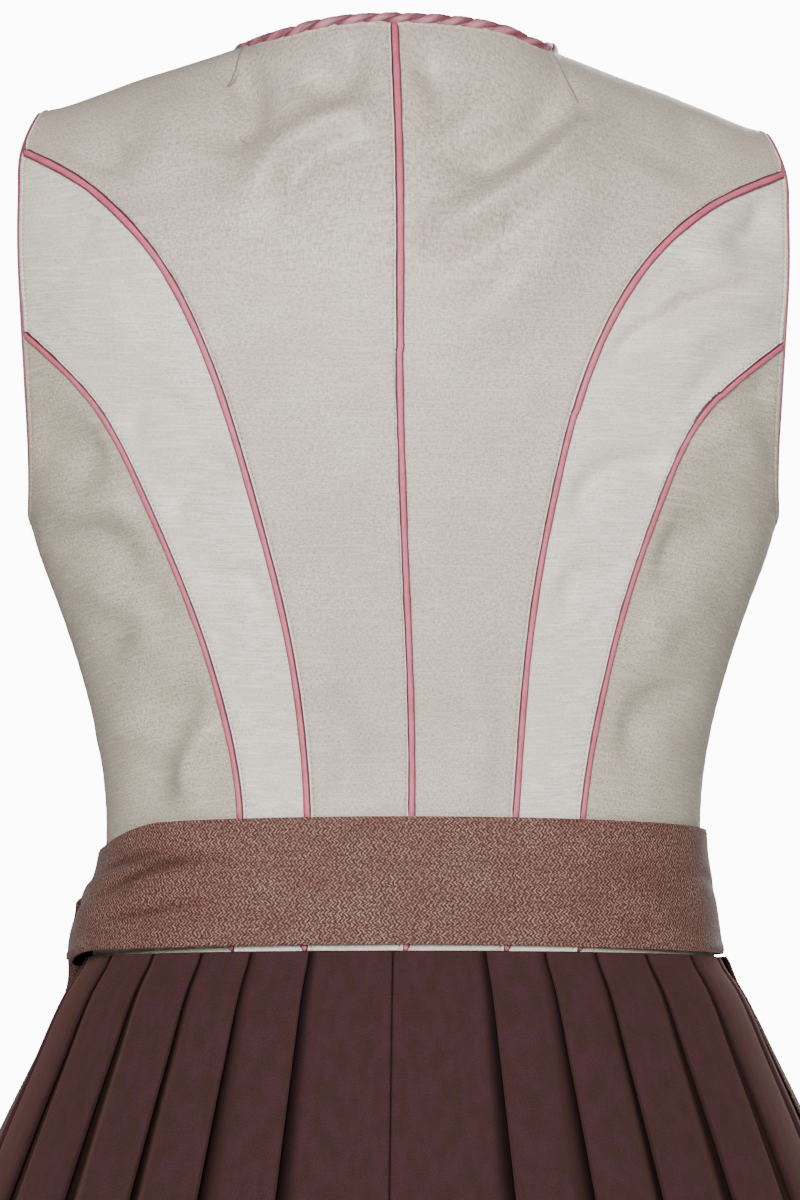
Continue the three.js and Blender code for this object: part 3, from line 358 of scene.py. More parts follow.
def make(name, points, faces, material, slot, uv=None, replaces=None, crisp=50.0, seams=None):
    """A smooth mesh that rides on the dress. `uv` lays its pattern, in millimetres, and `seams`
    holds each point's distances to the edges that are lapped and tucked, where the silk gets its
    painted highlight and shade; the skirt's holds how open its folds are and the band's how it is
    creased, for their painted shade."""
    a, b, c = (points[faces[:, k]] for k in range(3))
    if np.einsum("ij,ij->i", a, np.cross(b, c)).sum() < 0:
        faces = faces[:, ::-1]
    mesh = bpy.data.meshes.new(name)
    mesh.from_pydata((points * MM).tolist(), [], faces.tolist())
    for title, places in (("cut", uv), ("seams", seams)):
        if places is not None:
            layer = mesh.uv_layers.new(name=title)
            corners = places.reshape(-1, 2)[faces.reshape(-1)]
            layer.data.foreach_set("uv", corners.astype(np.float32).ravel())
    mesh.shade_smooth()
    mesh.set_sharp_from_angle(angle=math.radians(crisp))
    mesh.materials.append(material)
    piece = bpy.data.objects.new(name, mesh)
    bpy.context.collection.objects.link(piece)
    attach(piece, "root")
    if replaces:
        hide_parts(replaces)
    return piece


def shell(name, outer, inner, material, slot, cut, replaces=None, seams=None, ring=False):
    """A piece of cloth between two grids of points."""
    seams = None if seams is None else twice(seams)
    return make(name, *wall(outer, inner, ring), material, slot, twice(cut), replaces, seams=seams)


def tone(code):
    """Linear colour from an sRGB hex value."""
    parts = [int(code[k : k + 2], 16) / 255 for k in (1, 3, 5)]
    return [p / 12.92 if p <= 0.04045 else ((p + 0.055) / 1.055) ** 2.4 for p in parts] + [1.0]


def node(tree, kind, inputs=None, **settings):
    """Adds a node with its settings, and values or links for its inputs."""
    made = tree.nodes.new(kind)
    for name, value in settings.items():
        setattr(made, name, value)
    for key, value in (inputs or {}).items():
        if isinstance(value, bpy.types.NodeSocket):
            tree.links.new(value, made.inputs[key])
        else:
            made.inputs[key].default_value = value
    return made


def laid(tree, uv_map):
    """Places on the cloth, from one of its two maps."""
    return node(tree, "ShaderNodeUVMap", uv_map=uv_map).outputs["UV"]


def parts_of(tree, place):
    return node(tree, "ShaderNodeSeparateXYZ", {0: place}).outputs


def noise_on(tree, place, scale, detail, rough=0.5):
    values = {"Vector": place, "Scale": scale, "Detail": detail, "Roughness": rough}
    return node(tree, "ShaderNodeTexNoise", values, noise_dimensions="2D").outputs["Fac"]


def worked(tree, operation, *values):
    return node(tree, "ShaderNodeMath", dict(enumerate(values)), operation=operation).outputs[0]


def blend(tree, share, under, over, mode="MIX"):
    """One colour over another."""
    mixed = node(tree, "ShaderNodeMix", {0: share, 6: under, 7: over}, data_type="RGBA", blend_type=mode)
    return mixed.outputs[2]


def bumped(tree, strength, distance, height):
    values = {"Strength": strength, "Distance": distance, "Height": height}
    return node(tree, "ShaderNodeBump", values).outputs[0]


def principled(tree, values):
    return node(tree, "ShaderNodeBsdfPrincipled", values)


def finish(name, surface_of):
    """A new material whose surface is made by a function of its node tree."""
    material = bpy.data.materials.new(name)
    material.use_nodes = True
    tree = material.node_tree
    tree.nodes.clear()
    shader = surface_of(tree)
    node(tree, "ShaderNodeOutputMaterial", {"Surface": shader.outputs[0]})
    return material


def ramp(tree, value, stops):
    """Colour ramp through (place, colour) stops, or grey levels where a stop holds a number."""
    made = node(tree, "ShaderNodeValToRGB", {"Fac": value})
    elements = made.color_ramp.elements
    while len(elements) < len(stops):
        elements.new(0.5)
    for element, (place, colour) in zip(elements, stops):
        element.position = place
        element.color = [colour] * 3 + [1] if isinstance(colour, (int, float)) else tone(colour)
    return made.outputs["Color"]


# Shantung: a firm plain weave with a soft lustre. Weft threads are drawn 0.85 mm apart, twice the
# real pitch, so that they hold at this distance; slubs are 1.2 mm thick. The eye gets fine level
# streaks, a grain of crossing threads, a faint warm mottle, a painted highlight along the pressed
# folds and a thin painted shadow beside the piping.
def shantung(name, pale, deep, warm, streaks):
    def surface(tree):
        cut = laid(tree, "cut")
        edge = parts_of(tree, laid(tree, "seams"))

        def noise(wide, high, detail):
            values = {0: cut, 1: (1 / wide, 1 / high, 1)}
            place = node(tree, "ShaderNodeVectorMath", values, operation="MULTIPLY").outputs[0]
            return noise_on(tree, place, 1.0, detail, 0.6)

        weft = noise(10, 0.85, 3.0)
        slub = ramp(tree, noise(24, 1.25, 2.0), [(0.56, 0.0), (0.74, 1.0)])
        warp = noise(0.7, 14, 2.0)
        mottle = noise(38, 26, 4.0)
        crossing = worked(tree, "ADD", noise(1.5, 0.6, 2.0), noise(0.6, 1.3, 2.0))
        grain = worked(tree, "MULTIPLY", crossing, 0.5)
        threads = ramp(tree, weft, [(0.34, deep), (0.64, pale)])
        even = blend(tree, streaks, ramp(tree, grain, [(0.3, deep), (0.7, pale)]), threads)
        clouded = blend(tree, ramp(tree, mottle, [(0.42, 0.0), (0.6, 0.8)]), even, tone(warm))
        speckle = ramp(tree, grain, [(0.4, 0.12), (0.6, 0.88)])
        speckled = blend(tree, 0.52, clouded, speckle, "SOFT_LIGHT")
        lit = blend(tree, slub, speckled, tone(pale))
        # Painted highlight: a pale line along each lapped fold.
        fold = ramp(tree, edge["X"], [(0.0, 1.0), (0.06, 0.8), (0.11, 0.0)])
        pressed = blend(tree, fold, lit, tone("#FFF6EE"))
        # Painted shade: a thin dark line beside each tucked edge at the piping, and along the darts'
        # folds.
        shade = ramp(tree, edge["Y"], [(0.0, 1.0), (0.035, 0.5), (0.1, 0.2), (0.3, 0.0)])
        raised = worked(tree, "MULTIPLY_ADD", slub, 0.9, weft)
        relief = worked(tree, "MULTIPLY_ADD", warp, 0.35, raised)
        values = {
            "Base Color": blend(tree, shade, pressed, tone("#86716D")),
            "Roughness": ramp(tree, weft, [(0.3, 0.54), (0.7, 0.42)]),
            "IOR": 1.5,
            "Normal": bumped(tree, 0.4, 0.00014, relief),
        }
        return principled(tree, values)

    return finish(name, surface)


# One silk in three tones: the middle panels are painted lighter and the side panels darker, painted light
# and shade for how each panel's grain throws back the light.
silk_centre = shantung("shantung silk, centre panels", "#D0C4B4", "#B9AD9D", "#C2B0A3", 0.35)
silk_middle_painted_light = shantung("shantung silk, middle panels, painted lighter", "#F0EADF", "#CBC2B4", "#DDD0C3", 0.8)
silk_side_painted_shade = shantung("shantung silk, side panels, painted darker", "#C9C0AE", "#A69B89", "#B6A897", 0.5)

# Soft folds pulled into the back: (from x, z) to (to x, z), half width, and depth in or out.
DRAG_FOLDS = rows_of(
    "x0 z0 x1 z1 wide deep",
    (-72, -43, -16, -88, 9.9, 3.36), (-67, -31, -22, -57, 11, -3.36), (-9, -10, -18, -39, 8.8, -1.96),
    (69, -15, 75, -48, 8.8, -2.24), (20, -8, 44, -22, 9.9, -1.82), (65, -68, 13, -33, 8.8, 1.96),
    (50, -66, 22, -47, 6.6, -1.26), (-79, -59, -28, -129, 14.3, 1.68), (101, -29, 112, -65, 12.5, 0.85),
    (125, -42, 135, -56, 10, -0.85), (-128, -35, -109, -56, 11.25, -1.02),
    (-155, -69, -142, -90, 7.5, -1.7), (-101, -113, -128, -100, 6.88, -1.44),
    (-105, -122, -139, -101, 5.62, 0.94), (-89, -138, -144, -110, 4, -1.2),
    (-118, -135, -154, -121, 7.5, 0.85), (-73, -200, -108, -184, 6, -1.3), (-67, -243, -88, -231, 6, -0.7),
    (152, -73, 133, -88, 10, -0.68), (146, -120, 116, -129, 10, 0.68), (116, -167, 95, -158, 6, -0.8),
    (-126, -159, -157, -147, 8.75, -1.36), (-121, -172, -154, -178, 8.75, 0.94),
    (-110, -229, -141, -209, 10, -1.27), (-105, -260, -130, -243, 10, 1.02),
    (-96, -303, -122, -282, 9, -1.4), (154, -172, 132, -190, 11.25, -1.44),
    (146, -203, 107, -209, 7.5, 1.19), (147, -217, 114, -229, 8.75, -1.36),
    (131, -239, 108, -260, 8.75, 1.02), (129, -265, 101, -243, 8.75, -0.94),
    (108, -322, 89, -282, 9, -1.7), (92, -325, 75, -293, 7, 1.6), (97, -200, 66, -188, 6, -0.9),
    (81, -233, 55, -244, 5, -0.8), (125, -294, 103, -311, 10, 1.02), (31, -286, 25, -324, 9, -0.7),
    (-28, -282, -33, -324, 9, 0.7),
)


FOLD_DEPTH = 3.8


def dragged(points, back):
    """How far the soft folds lift each point; the front has the same ones, fainter."""
    x, z = points[..., 0], points[..., 2]
    lift = 0 * x
    for fold in DRAG_FOLDS:
        a = np.array([fold["x0"], fold["z0"]], float)
        b = np.array([fold["x1"], fold["z1"]], float)
        run = b - a
        t = ((x - a[0]) * run[0] + (z - a[1]) * run[1]) / (run @ run)
        bow = 5.0 * np.sin(np.pi * np.clip(t, 0, 1))
        off = ((x - a[0]) * run[1] - (z - a[1]) * run[0]) / np.hypot(*run) - bow
        ends = smooth(t, -0.35, 0.2) * (1 - smooth(t, 0.7, 1.3))
        lift = lift + FOLD_DEPTH * fold["deep"] * np.exp(-((off / fold["wide"]) ** 2)) * ends
    waves = 0.45 * np.sin(x / 24 + 1.3 * np.sin(z / 41)) * np.sin(z / 29 + x / 60 + 0.7)
    return (lift if back else 0.7 * lift) + waves


LAP_STITCH = 1.7  # how far in from a lapped fold its stitches run
EDGE_STITCH = 2.3


def lapped(d):
    """Height of the lapped edge over the piping, by distance from the fold."""
    rise = (0.75 + 0.3 * np.exp(-d / 1.0)) * (1 - np.exp(-d / 0.25)) * np.exp(-((d / 8.0) ** 2))
    return rise - 0.36 * np.exp(-(((d - LAP_STITCH) / 0.45) ** 2))


def tucked(d):
    return -0.45 * np.exp(-d / 2.4)


def bound(d):
    """An armhole or neck edge: turned, pressed and stitched a little way in."""
    return 0.35 * np.exp(-((d / 3.2) ** 2)) - 0.4 * np.exp(-(((d - EDGE_STITCH) / 0.55) ** 2))


def closed(d):
    """Two edges sewn right sides together, sunk a little where they meet."""
    return -0.3 * np.exp(-d / 1.2)


def side_closed(d):
    return -0.35 * np.exp(-d / 1.5)


FINISHES = dict(lapped=lapped, tucked=tucked, bound=bound, closed=closed, side_closed=side_closed)
panels = {}


def panel(name, near, far, high, kinds, material, cut_turn):
    """One panel. `kinds` says how its near, far and top edges are finished."""
    low_v = np.linspace(near[0, 0], far[0, 0], len(high))
    low = np.stack([low_v, waist_z(low_v) + SEAM_GAP], axis=-1)
    near, far = near.copy(), far.copy()
    near[0], far[0] = low[0], low[-1]
    high = joined(near[-1:], high)
    high = joined(far[-1:], high[::-1])[::-1]
    probe = np.linspace(0, 1, 13)
    s, t = np.meshgrid(probe, probe)
    rough = fill_edges(near, far, low, high, s, t)
    rough = on_body(rough)[0]
    tall = lengths(rough, 0)[-1].mean()
    t_rows = spread(tall)[0]
    widths = np.interp(t_rows, probe, lengths(rough, 1)[:, -1])
    s = spread(np.maximum(widths, 2.2 * EDGE_STEPS[-1]))
    t = np.repeat(t_rows[:, None], s.shape[1], axis=1)
    place = fill_edges(near, far, low, high, s, t)
    middle, normal = on_body(place)
    across, up = lengths(middle, 1), lengths(middle, 0)
    d = dict(near=across, far=across[:, -1:] - across, top=up[-1:] - up)
    relief = 0 * across
    for edge, kind in kinds.items():
        if callable(kind):
            relief = relief + kind(d[edge], middle)
        else:
            relief = relief + FINISHES[kind](d[edge])
    beside = np.minimum(d["near"], d["far"])
    quiet = smooth(beside, 0, 16) * smooth(d["top"], 0, 14)
    back = name.startswith("back")
    ripple = 0.16 * np.sin(up / 1.35 + 2.1 * np.sin(up / 9.7)) * np.exp(-beside / 5)
    lift = relief + dragged(middle, back) * quiet + ripple * smooth(beside, 0.2, 1.5)
    outer = middle + normal * (CLOTH_OUT + lift)[..., None]
    inner = middle + normal * (CLOTH_IN + np.minimum(lift, 0.3))[..., None]
    cut = np.stack([np.radians(place[..., 0]) * PATTERN_RADIUS, place[..., 1]], axis=-1)
    sine, cosine = math.sin(cut_turn), math.cos(cut_turn)
    turn = np.array([[cosine, -sine], [sine, cosine]])
    cut = cut @ turn + PATTERN_STEP * len(panels)
    far_off = np.full_like(across, FAR_OFF)
    seams = {"lapped": far_off, "tucked": far_off}
    for edge, kind in kinds.items():
        kind = kind if isinstance(kind, str) else getattr(kind, "seam", None)
        if kind in seams:
            seams[kind] = np.minimum(seams[kind], d[edge])
    seams = np.stack([seams["lapped"], seams["tucked"]], axis=-1) / SEAM_REACH
    shell(name, outer, inner, material, "bodice_silk", cut, name, seams)
    panels[name] = dict(outer=outer, normal=normal, **d)


inner_end = share_at(BACK_ARMHOLE, -51)
outer_end = share_at(BACK_ARMHOLE, -128.5)
front_end = share_at(FRONT_ARMHOLE, -142)
LAP_SET = 1.2  # how far the lapped fold stops short of the middle of the piping
SEAM_HALF = 0.2


def seam_or_armhole(seam_kind, split_z):
    """A long edge that is a seam below a height and an armhole or neckline above it."""

    def relief(d, points):
        high = smooth(points[..., 2], split_z - 2, split_z + 2)
        return FINISHES[seam_kind](d) * (1 - high) + bound(d) * high

    relief.seam = seam_kind
    return relief


for side_name, side in SIDES:
    inner_seam = lambda shift: traced(BACK_INNER_SEAM, SEAM_STEPS, side, drift=True, shift=shift)
    outer_seam = lambda shift: traced(BACK_OUTER_SEAM, SEAM_STEPS, side, drift=True, shift=shift)
    arm_top = traced(BACK_ARMHOLE, 4 * FINE, side, start=inner_end)
    arm_middle = traced(BACK_ARMHOLE, 4 * FINE, side, start=inner_end, end=outer_end)
    arm_side = traced(BACK_ARMHOLE, 6 * FINE, side, start=outer_end, end=0)
    shoulder = shoulder_line(side_name, side, False)
    centre_kind = "lapped" if side > 0 else "tucked"
    centre_shift = LAP_SET if side > 0 else SEAM_HALF
    panel(
        f"back_centre_{side_name}",
        centre_line(NECK_TOP, SEAM_STEPS + 4 * FINE, side, shift=centre_shift),
        joined(inner_seam(-LAP_SET), arm_top),
        joined(traced(BACK_NECK[side_name], 6 * FINE, side), shoulder),
        dict(near=centre_kind, far=seam_or_armhole("lapped", -50 + 4 * side), top="bound"),
        silk_centre,
        0.0,
    )
    panel(
        f"back_middle_{side_name}",
        inner_seam(SEAM_HALF),
        outer_seam(-LAP_SET),
        arm_middle,
        dict(near="tucked", far="lapped", top="bound"),
        silk_middle_painted_light,
        side * 0.03,
    )
    side_low = waist_z(90) + SEAM_GAP
    side_seam = lambda steps, off: placed(
        np.full(steps + 1, 90.0 + off), np.linspace(side_low, UNDERARM_Z, steps + 1), side
    )
    panel(
        f"back_side_{side_name}",
        outer_seam(SEAM_HALF),
        side_seam(SEAM_STEPS, 0.02),
        arm_side,
        dict(near="tucked", far="side_closed", top="bound"),
        silk_side_painted_shade,
        side * -0.12,
    )
    front_seam = lambda shift: traced(FRONT_SEAM, FRONT_STEPS, side, front=True, shift=shift)
    panel(
        f"front_side_{side_name}",
        front_seam(SEAM_MEET),
        side_seam(FRONT_STEPS, -0.02),
        traced(FRONT_ARMHOLE, 6 * FINE, side, front=True, start=front_end, end=0),
        dict(near="tucked", far="side_closed", top="bound"),
        silk_side_painted_shade,
        side * 0.1,
    )
    front_neck = traced(FRONT_NECK[side_name], 11 * FINE, side, front=True)
    front_arm = traced(FRONT_ARMHOLE, 8 * FINE, side, front=True, start=front_end)
    panel(
        f"front_centre_{side_name}",
        joined(centre_line(FRONT_NECK_Z, 7 * FINE, side, front=True, shift=SEAM_MEET), front_neck),
        joined(front_seam(-SEAM_MEET), front_arm),
        shoulder_line(side_name, side, True),
        dict(
            near=seam_or_armhole("closed", FRONT_NECK_Z),
            far=seam_or_armhole("lapped", -142),
            top="closed",
        ),
        silk_centre,
        0.0,
    )


# Piping: a cord of twisted cotton in a bias strip of rose satin, caught into each back seam.
# It stands between the lapped fold and the next panel, a little flattened, and the satin's bias
# folds round it in fine slanting wrinkles.
PIPING_HALF = 1.7
PIPING_LOOSE = 0.2  # how much wider it lies near the neck than at the waist
PIPING_RISE = 1.05
PIPING_SIDES = 14
PIPING_PITCH = 1.6
JOIN_REACH = 2.4  # along the piping, the stretch that a slanted join takes on each side
PIPING_FLAT = 0.55  # of its height left where the apron band presses on it
BAND_TOP_Z = -335.0
BAND_DIP = 13.0
BAND_LIFT = 2.6
BAND_SIDE_DROP = 1.7
BAND_TOP_PULL = {"by": 9, "from": 50, "to": 85}
BAND_LOW_PULL = {"by": 5, "from": 70, "to": 96}
BAND_RELEASE = {"from": 120, "to": 200}


def band_pull(pull, angle):
    turn = np.asarray(angle, float) % 360
    kept = 1 - smooth(turn, BAND_RELEASE["from"], BAND_RELEASE["to"])
    return pull["by"] * smooth(turn, pull["from"], pull["to"]) * kept


def band_top_z(angle):
    dip = BAND_DIP * (1 - np.cos(np.radians(angle))) / 2
    return BAND_TOP_Z - dip - band_pull(BAND_TOP_PULL, angle)


def band_low_z(angle):
    drop = BAND_SIDE_DROP * np.sin(np.radians(angle)) ** 2
    return waist_z(angle) + BAND_LIFT - drop - band_pull(BAND_LOW_PULL, angle)


def frames(points, normals, closed):
    """Directions forward, aside and up along a path."""
    if closed:
        forward = np.roll(points, -1, axis=0) - np.roll(points, 1, axis=0)
    else:
        forward = np.gradient(points, axis=0)
    forward = unit(forward)
    aside = unit(np.cross(forward, normals))
    return forward, aside, np.cross(aside, forward)


TUBE_GIRTH = 7.5  # of a tube's pattern, from its fold round to the far side


def tube(points, normals, wide, high, sides, closed=False, fold=0.0):
    """Points, faces and pattern coordinates of a tube with an oval section, its ends closed. Its
    pattern runs round both ways from the side at angle `fold`."""
    _, aside, up = frames(points, normals, closed)
    angle = np.linspace(0, 2 * np.pi, sides, endpoint=False)[None]
    wide, high = (np.atleast_2d(np.asarray(size, float).T).T for size in (wide, high))
    ring = (
        points[:, None]
        + aside[:, None] * (wide * np.cos(angle))[..., None]
        + up[:, None] * (high * np.sin(angle))[..., None]
    )
    count = len(points)
    run = lengths(points, 0)
    round_it = (1 - np.cos(angle - fold)) / 2 * TUBE_GIRTH
    uv = np.stack(np.broadcast_arrays(run[:, None], round_it), axis=-1)
    index = np.arange(count * sides).reshape(count, sides)
    index = np.concatenate([index, index[:, :1]], axis=1)
    if closed:
        index = np.concatenate([index, index[:1]])
    faces = [quads(index)]
    if not closed:
        faces += [lid(index[0, :-1], -1), lid(index[-1, :-1], 1)]
    return ring.reshape(-1, 3), np.concatenate(faces), uv.reshape(-1, 2)


def satin(name, tones, along_strand):
    """Rose satin on the bias. Its floats show fine slanting lines, in bump and in a painted sheen, and
    `tones` are colours laid round a tube, from the side that is caught in the seam to the other;
    on the seam piping and the braid they paint shade towards the tube's sides."""

    def surface(tree):
        cut = laid(tree, "cut")
        turned = {"Vector": cut, "Rotation": (0, 0, 0.35), "Scale": along_strand}
        lines = noise_on(tree, node(tree, "ShaderNodeMapping", turned).outputs[0], 1.0, 3.0, 0.6)
        patches = noise_on(tree, cut, 0.11, 3.0)
        colour = ramp(tree, worked(tree, "DIVIDE", parts_of(tree, cut)["Y"], TUBE_GIRTH), tones)
        # Painted sheen: the slanting lines lighten and darken the colour.
        painted_sheen_lines = blend(tree, 0.5, colour, ramp(tree, lines, [(0.3, 0.3), (0.7, 0.78)]), "SOFT_LIGHT")
        uneven = ramp(tree, patches, [(0.35, 0.34), (0.65, 0.72)])
        values = {
            "Base Color": blend(tree, 0.4, painted_sheen_lines, uneven, "SOFT_LIGHT"),
            "Roughness": 0.42,
            "IOR": 1.5,
            "Sheen Weight": 0.08,
            "Sheen Roughness": 0.4,
            "Normal": bumped(tree, 0.6, 0.00035, lines),
        }
        return principled(tree, values)

    return finish(name, surface)


# Colours round the seam piping: rose in the middle, with painted shade darkening both sides where it meets
# the cloth.
piping_tones_painted_shade = [
    (0.0, "#4A1B27"), (0.21, "#5A2231"), (0.31, "#D0697D"),
    (0.76, "#C96277"), (0.88, "#84394B"), (1.0, "#5E2734"),
]
rose_satin = satin("rose satin piping", piping_tones_painted_shade, (0.5, 1.4, 1))
edge_satin = satin("rose satin piping, armholes", [(0.0, "#A85E70"), (1.0, "#7C3F4D")], (0.5, 1.4, 1))


def evened(points, normals, pitch, closed=True):
    """The same path with evenly spaced points."""
    p = np.concatenate([points, points[:1]]) if closed else points
    n = np.concatenate([normals, normals[:1]]) if closed else normals
    run = lengths(p, 0)
    count = int(round(run[-1] / pitch))
    at = np.linspace(0, run[-1], count + 1)[: count if closed else count + 1]
    return sampled(at, run, p), unit(sampled(at, run, n)), at


def seam_piping(name, place, fold, joins=()):
    """`fold` is the side that the lapped panel covers; `joins` are heights at which one bias strip
    is sewn to the next, on the slant, with a small step."""
    middle, normal, run = evened(*on_body(place), PIPING_PITCH, closed=False)
    at = [run[int(np.argmin(np.abs(middle[:, 2] - z)))] for z in joins]
    close = [a + np.linspace(-JOIN_REACH, JOIN_REACH, 25) for a in at]
    stops = np.unique(np.concatenate([run, *close]))
    stops = stops[(stops >= 0) & (stops <= run[-1])]
    middle, normal, run = sampled(stops, run, middle), sampled(stops, run, normal), stops
    _, aside, _ = frames(middle, normal, False)
    turned = np.degrees(np.arctan2(middle[:, 0], middle[:, 1]))
    pressed = smooth(middle[:, 2] - band_top_z(turned), -1.0, 5.0)
    share = PIPING_FLAT + (1 - PIPING_FLAT) * pressed
    uneven = 1 + 0.04 * np.sin(run / 7.3) + 0.03 * np.sin(run / 2.9 + 1)
    seat = CLOTH_OUT - 0.35 + PIPING_RISE * share * 0.7
    points = middle + normal * np.asarray(seat)[:, None]
    angle = np.linspace(0, 2 * np.pi, PIPING_SIDES, endpoint=False)[None]
    dip = 0 * (run[:, None] + angle)
    for a in at:
        slant = run[:, None] - a - 1.1 * np.cos(angle)
        dip = dip - 0.16 * np.exp(-((slant / 0.3) ** 2)) + 0.06 * np.exp(-(((slant - 0.7) / 0.5) ** 2))
        step = 0.5 / (1 + np.exp(-(run - a) * 4)) - 0.25
        points = points + aside * (fold * -step)[:, None]
    ends = np.minimum(1, 0.5 + np.minimum(run, run[-1] - run) / 0.8)
    swell = (uneven * ends)[:, None] * (1 + dip)
    loose = 1 + PIPING_LOOSE * smooth(middle[:, 2], -260, 0)[:, None]
    wide, high = PIPING_HALF * swell * loose, PIPING_RISE * share[:, None] * swell
    made = tube(points, normal, wide, high, PIPING_SIDES, fold=0.0 if fold > 0 else np.pi)
    make(name, *made[:2], rose_satin, "satin_piping", made[2], name, crisp=80)


seam_piping("piping_centre_back", centre_line(NECK_TOP + 0.2, 220, 1), -1, (-137,))
for side_name, side in SIDES:
    inner_line = traced(BACK_INNER_SEAM, 220, side, drift=True, start=0.002, end=0.998)
    outer_line = traced(BACK_OUTER_SEAM, 170, side, drift=True, start=0.003, end=0.997)
    seam_piping(f"piping_inner_{side_name}", inner_line, side, () if side > 0 else (-164,))
    seam_piping(f"piping_outer_{side_name}", outer_line, side, () if side > 0 else (-155,))

# Round each armhole the same piping is caught into the facing, and only its outer half shows.
ARMHOLE_PIPING = 1.15


def edge_loop(place, middle, offset):
    """A path beside an edge of the cloth, moved away from it towards the middle of the opening."""
    on, normal = on_body(place)
    _, aside, _ = frames(on, normal, True)
    inward = np.sign(np.einsum("ij,ij->i", aside, np.asarray(middle) - on))[:, None]
    return on + aside * inward * offset, normal


for side_name, side in SIDES:
    loop = np.concatenate([
        traced(BACK_ARMHOLE, 110, side)[::-1][:-1],
        traced(FRONT_ARMHOLE, 110, side, front=True)[:-1],
    ])
    points, normals = edge_loop(loop, (side * 156, -5, -118), ARMHOLE_PIPING + 0.15)
    points, normals, _ = evened(points, normals, 2.6)
    made = tube(points, normals, ARMHOLE_PIPING, ARMHOLE_PIPING, 8, closed=True)
    name = f"piping_armhole_{side_name}"
    make(name, *made[:2], edge_satin, "satin_piping", made[2], name, crisp=80)


# Topstitching in a matched thread: a stitch every 2.25 mm along each lapped fold, 1.7 mm in, and
# round the armholes. Each stitch sinks into the cloth at both ends.
STITCH_PITCH = 2.25
STITCH_LENGTH = 1.3
STITCH_RADIUS = 0.2


def thread_finish(tree):
    """Spun polyester thread, mercerised: a slight gloss and a darker tone in the stitch line."""
    spot = node(tree, "ShaderNodeTexNoise", {"Scale": 900.0, "Detail": 1.0}).outputs["Fac"]
    colour = ramp(tree, spot, [(0.35, "#7E776C"), (0.65, "#9B9487")])
    return principled(tree, {"Base Color": colour, "Roughness": 0.6, "IOR": 1.5})


thread = finish("matched sewing thread", thread_finish)


def stitched(name, path, normals, slot, material):
    """A row of separate stitches along a path on the cloth, joined as one piece."""
    points, normals, _ = evened(path, normals, STITCH_PITCH / 10, closed=False)
    starts = np.arange(5, len(points) - 10, 10)
    reach = 10 * STITCH_LENGTH / STITCH_PITCH
    all_points, all_faces, base = [], [], 0
    profile = np.array([0.25, 0.9, 1.0, 0.9, 0.25])
    sink = np.array([-0.22, 0.02, 0.1, 0.02, -0.22])
    for start in starts:
        index = np.round(np.linspace(start, start + reach, 5)).astype(int)
        p = points[index] + normals[index] * sink[:, None]
        ring, faces, _ = tube(p, normals[index], STITCH_RADIUS * profile, STITCH_RADIUS * profile, 5)
        all_points.append(ring)
        all_faces.append(faces[:20] + base)
        base += len(ring)
    return make(name, np.concatenate(all_points), np.concatenate(all_faces), material, slot)


def stitch_row(name, panel_name, edge, inset, low=0.0, high=1.0):
    """Stitches on a panel's face, a set distance in from one of its edges."""
    d, outer, normal = (panels[panel_name][part] for part in (edge, "outer", "normal"))
    if edge == "top":
        d, outer, normal = (np.swapaxes(part, 0, 1) for part in (d, outer, normal))
    path, out = [], []
    for j in range(int(low * (len(d) - 1)), int(high * (len(d) - 1)) + 1):
        order = np.argsort(d[j])
        for grid, picked in ((outer, path), (normal, out)):
            picked.append(sampled(inset, d[j][order], grid[j][order]))
    stitched(name, np.array(path), np.array(out), "bodice_silk", thread)


stitch_row("stitches_centre_back", "back_centre_left", "near", LAP_STITCH, 0, 0.99)
for side_name in ("left", "right"):
    for row, panel_name, edge, inset, low in (
        ("inner", "back_centre", "far", LAP_STITCH, 0),
        ("outer", "back_middle", "far", LAP_STITCH, 0),
        ("armhole_middle", "back_middle", "top", EDGE_STITCH, 0),
        ("armhole_side", "back_side", "top", EDGE_STITCH, 0),
        ("armhole_front", "front_side", "top", EDGE_STITCH, 0),
        ("front_seam", "front_centre", "far", EDGE_STITCH, 0),
        ("front_neck", "front_centre", "near", EDGE_STITCH, 0.4),
    ):
        stitch_row(f"stitches_{row}_{side_name}", f"{panel_name}_{side_name}", edge, inset, low)

# Neck darts: a small fold sewn to a point on each side of the back neck, pressed to the middle.
DARTS = rows_of(
    "panel x0 z0 x1 z1",
    ("back_centre_left", 69.2, 0.2, 76.8, -20.5),
    ("back_centre_right", -64, 0.8, -76.5, -24),
)
DART_WIDTH = 3.4
DART_THICK = 0.8


def height_on(name, points, normals):
    """Height of a panel's face over points of the figure near it."""
    face = panels[name]["outer"].reshape(-1, 3)
    nearest = [face[np.argmin(((face - p) ** 2).sum(axis=1))] for p in points]
    return np.einsum("ij,ij->i", np.array(nearest) - points, normals)


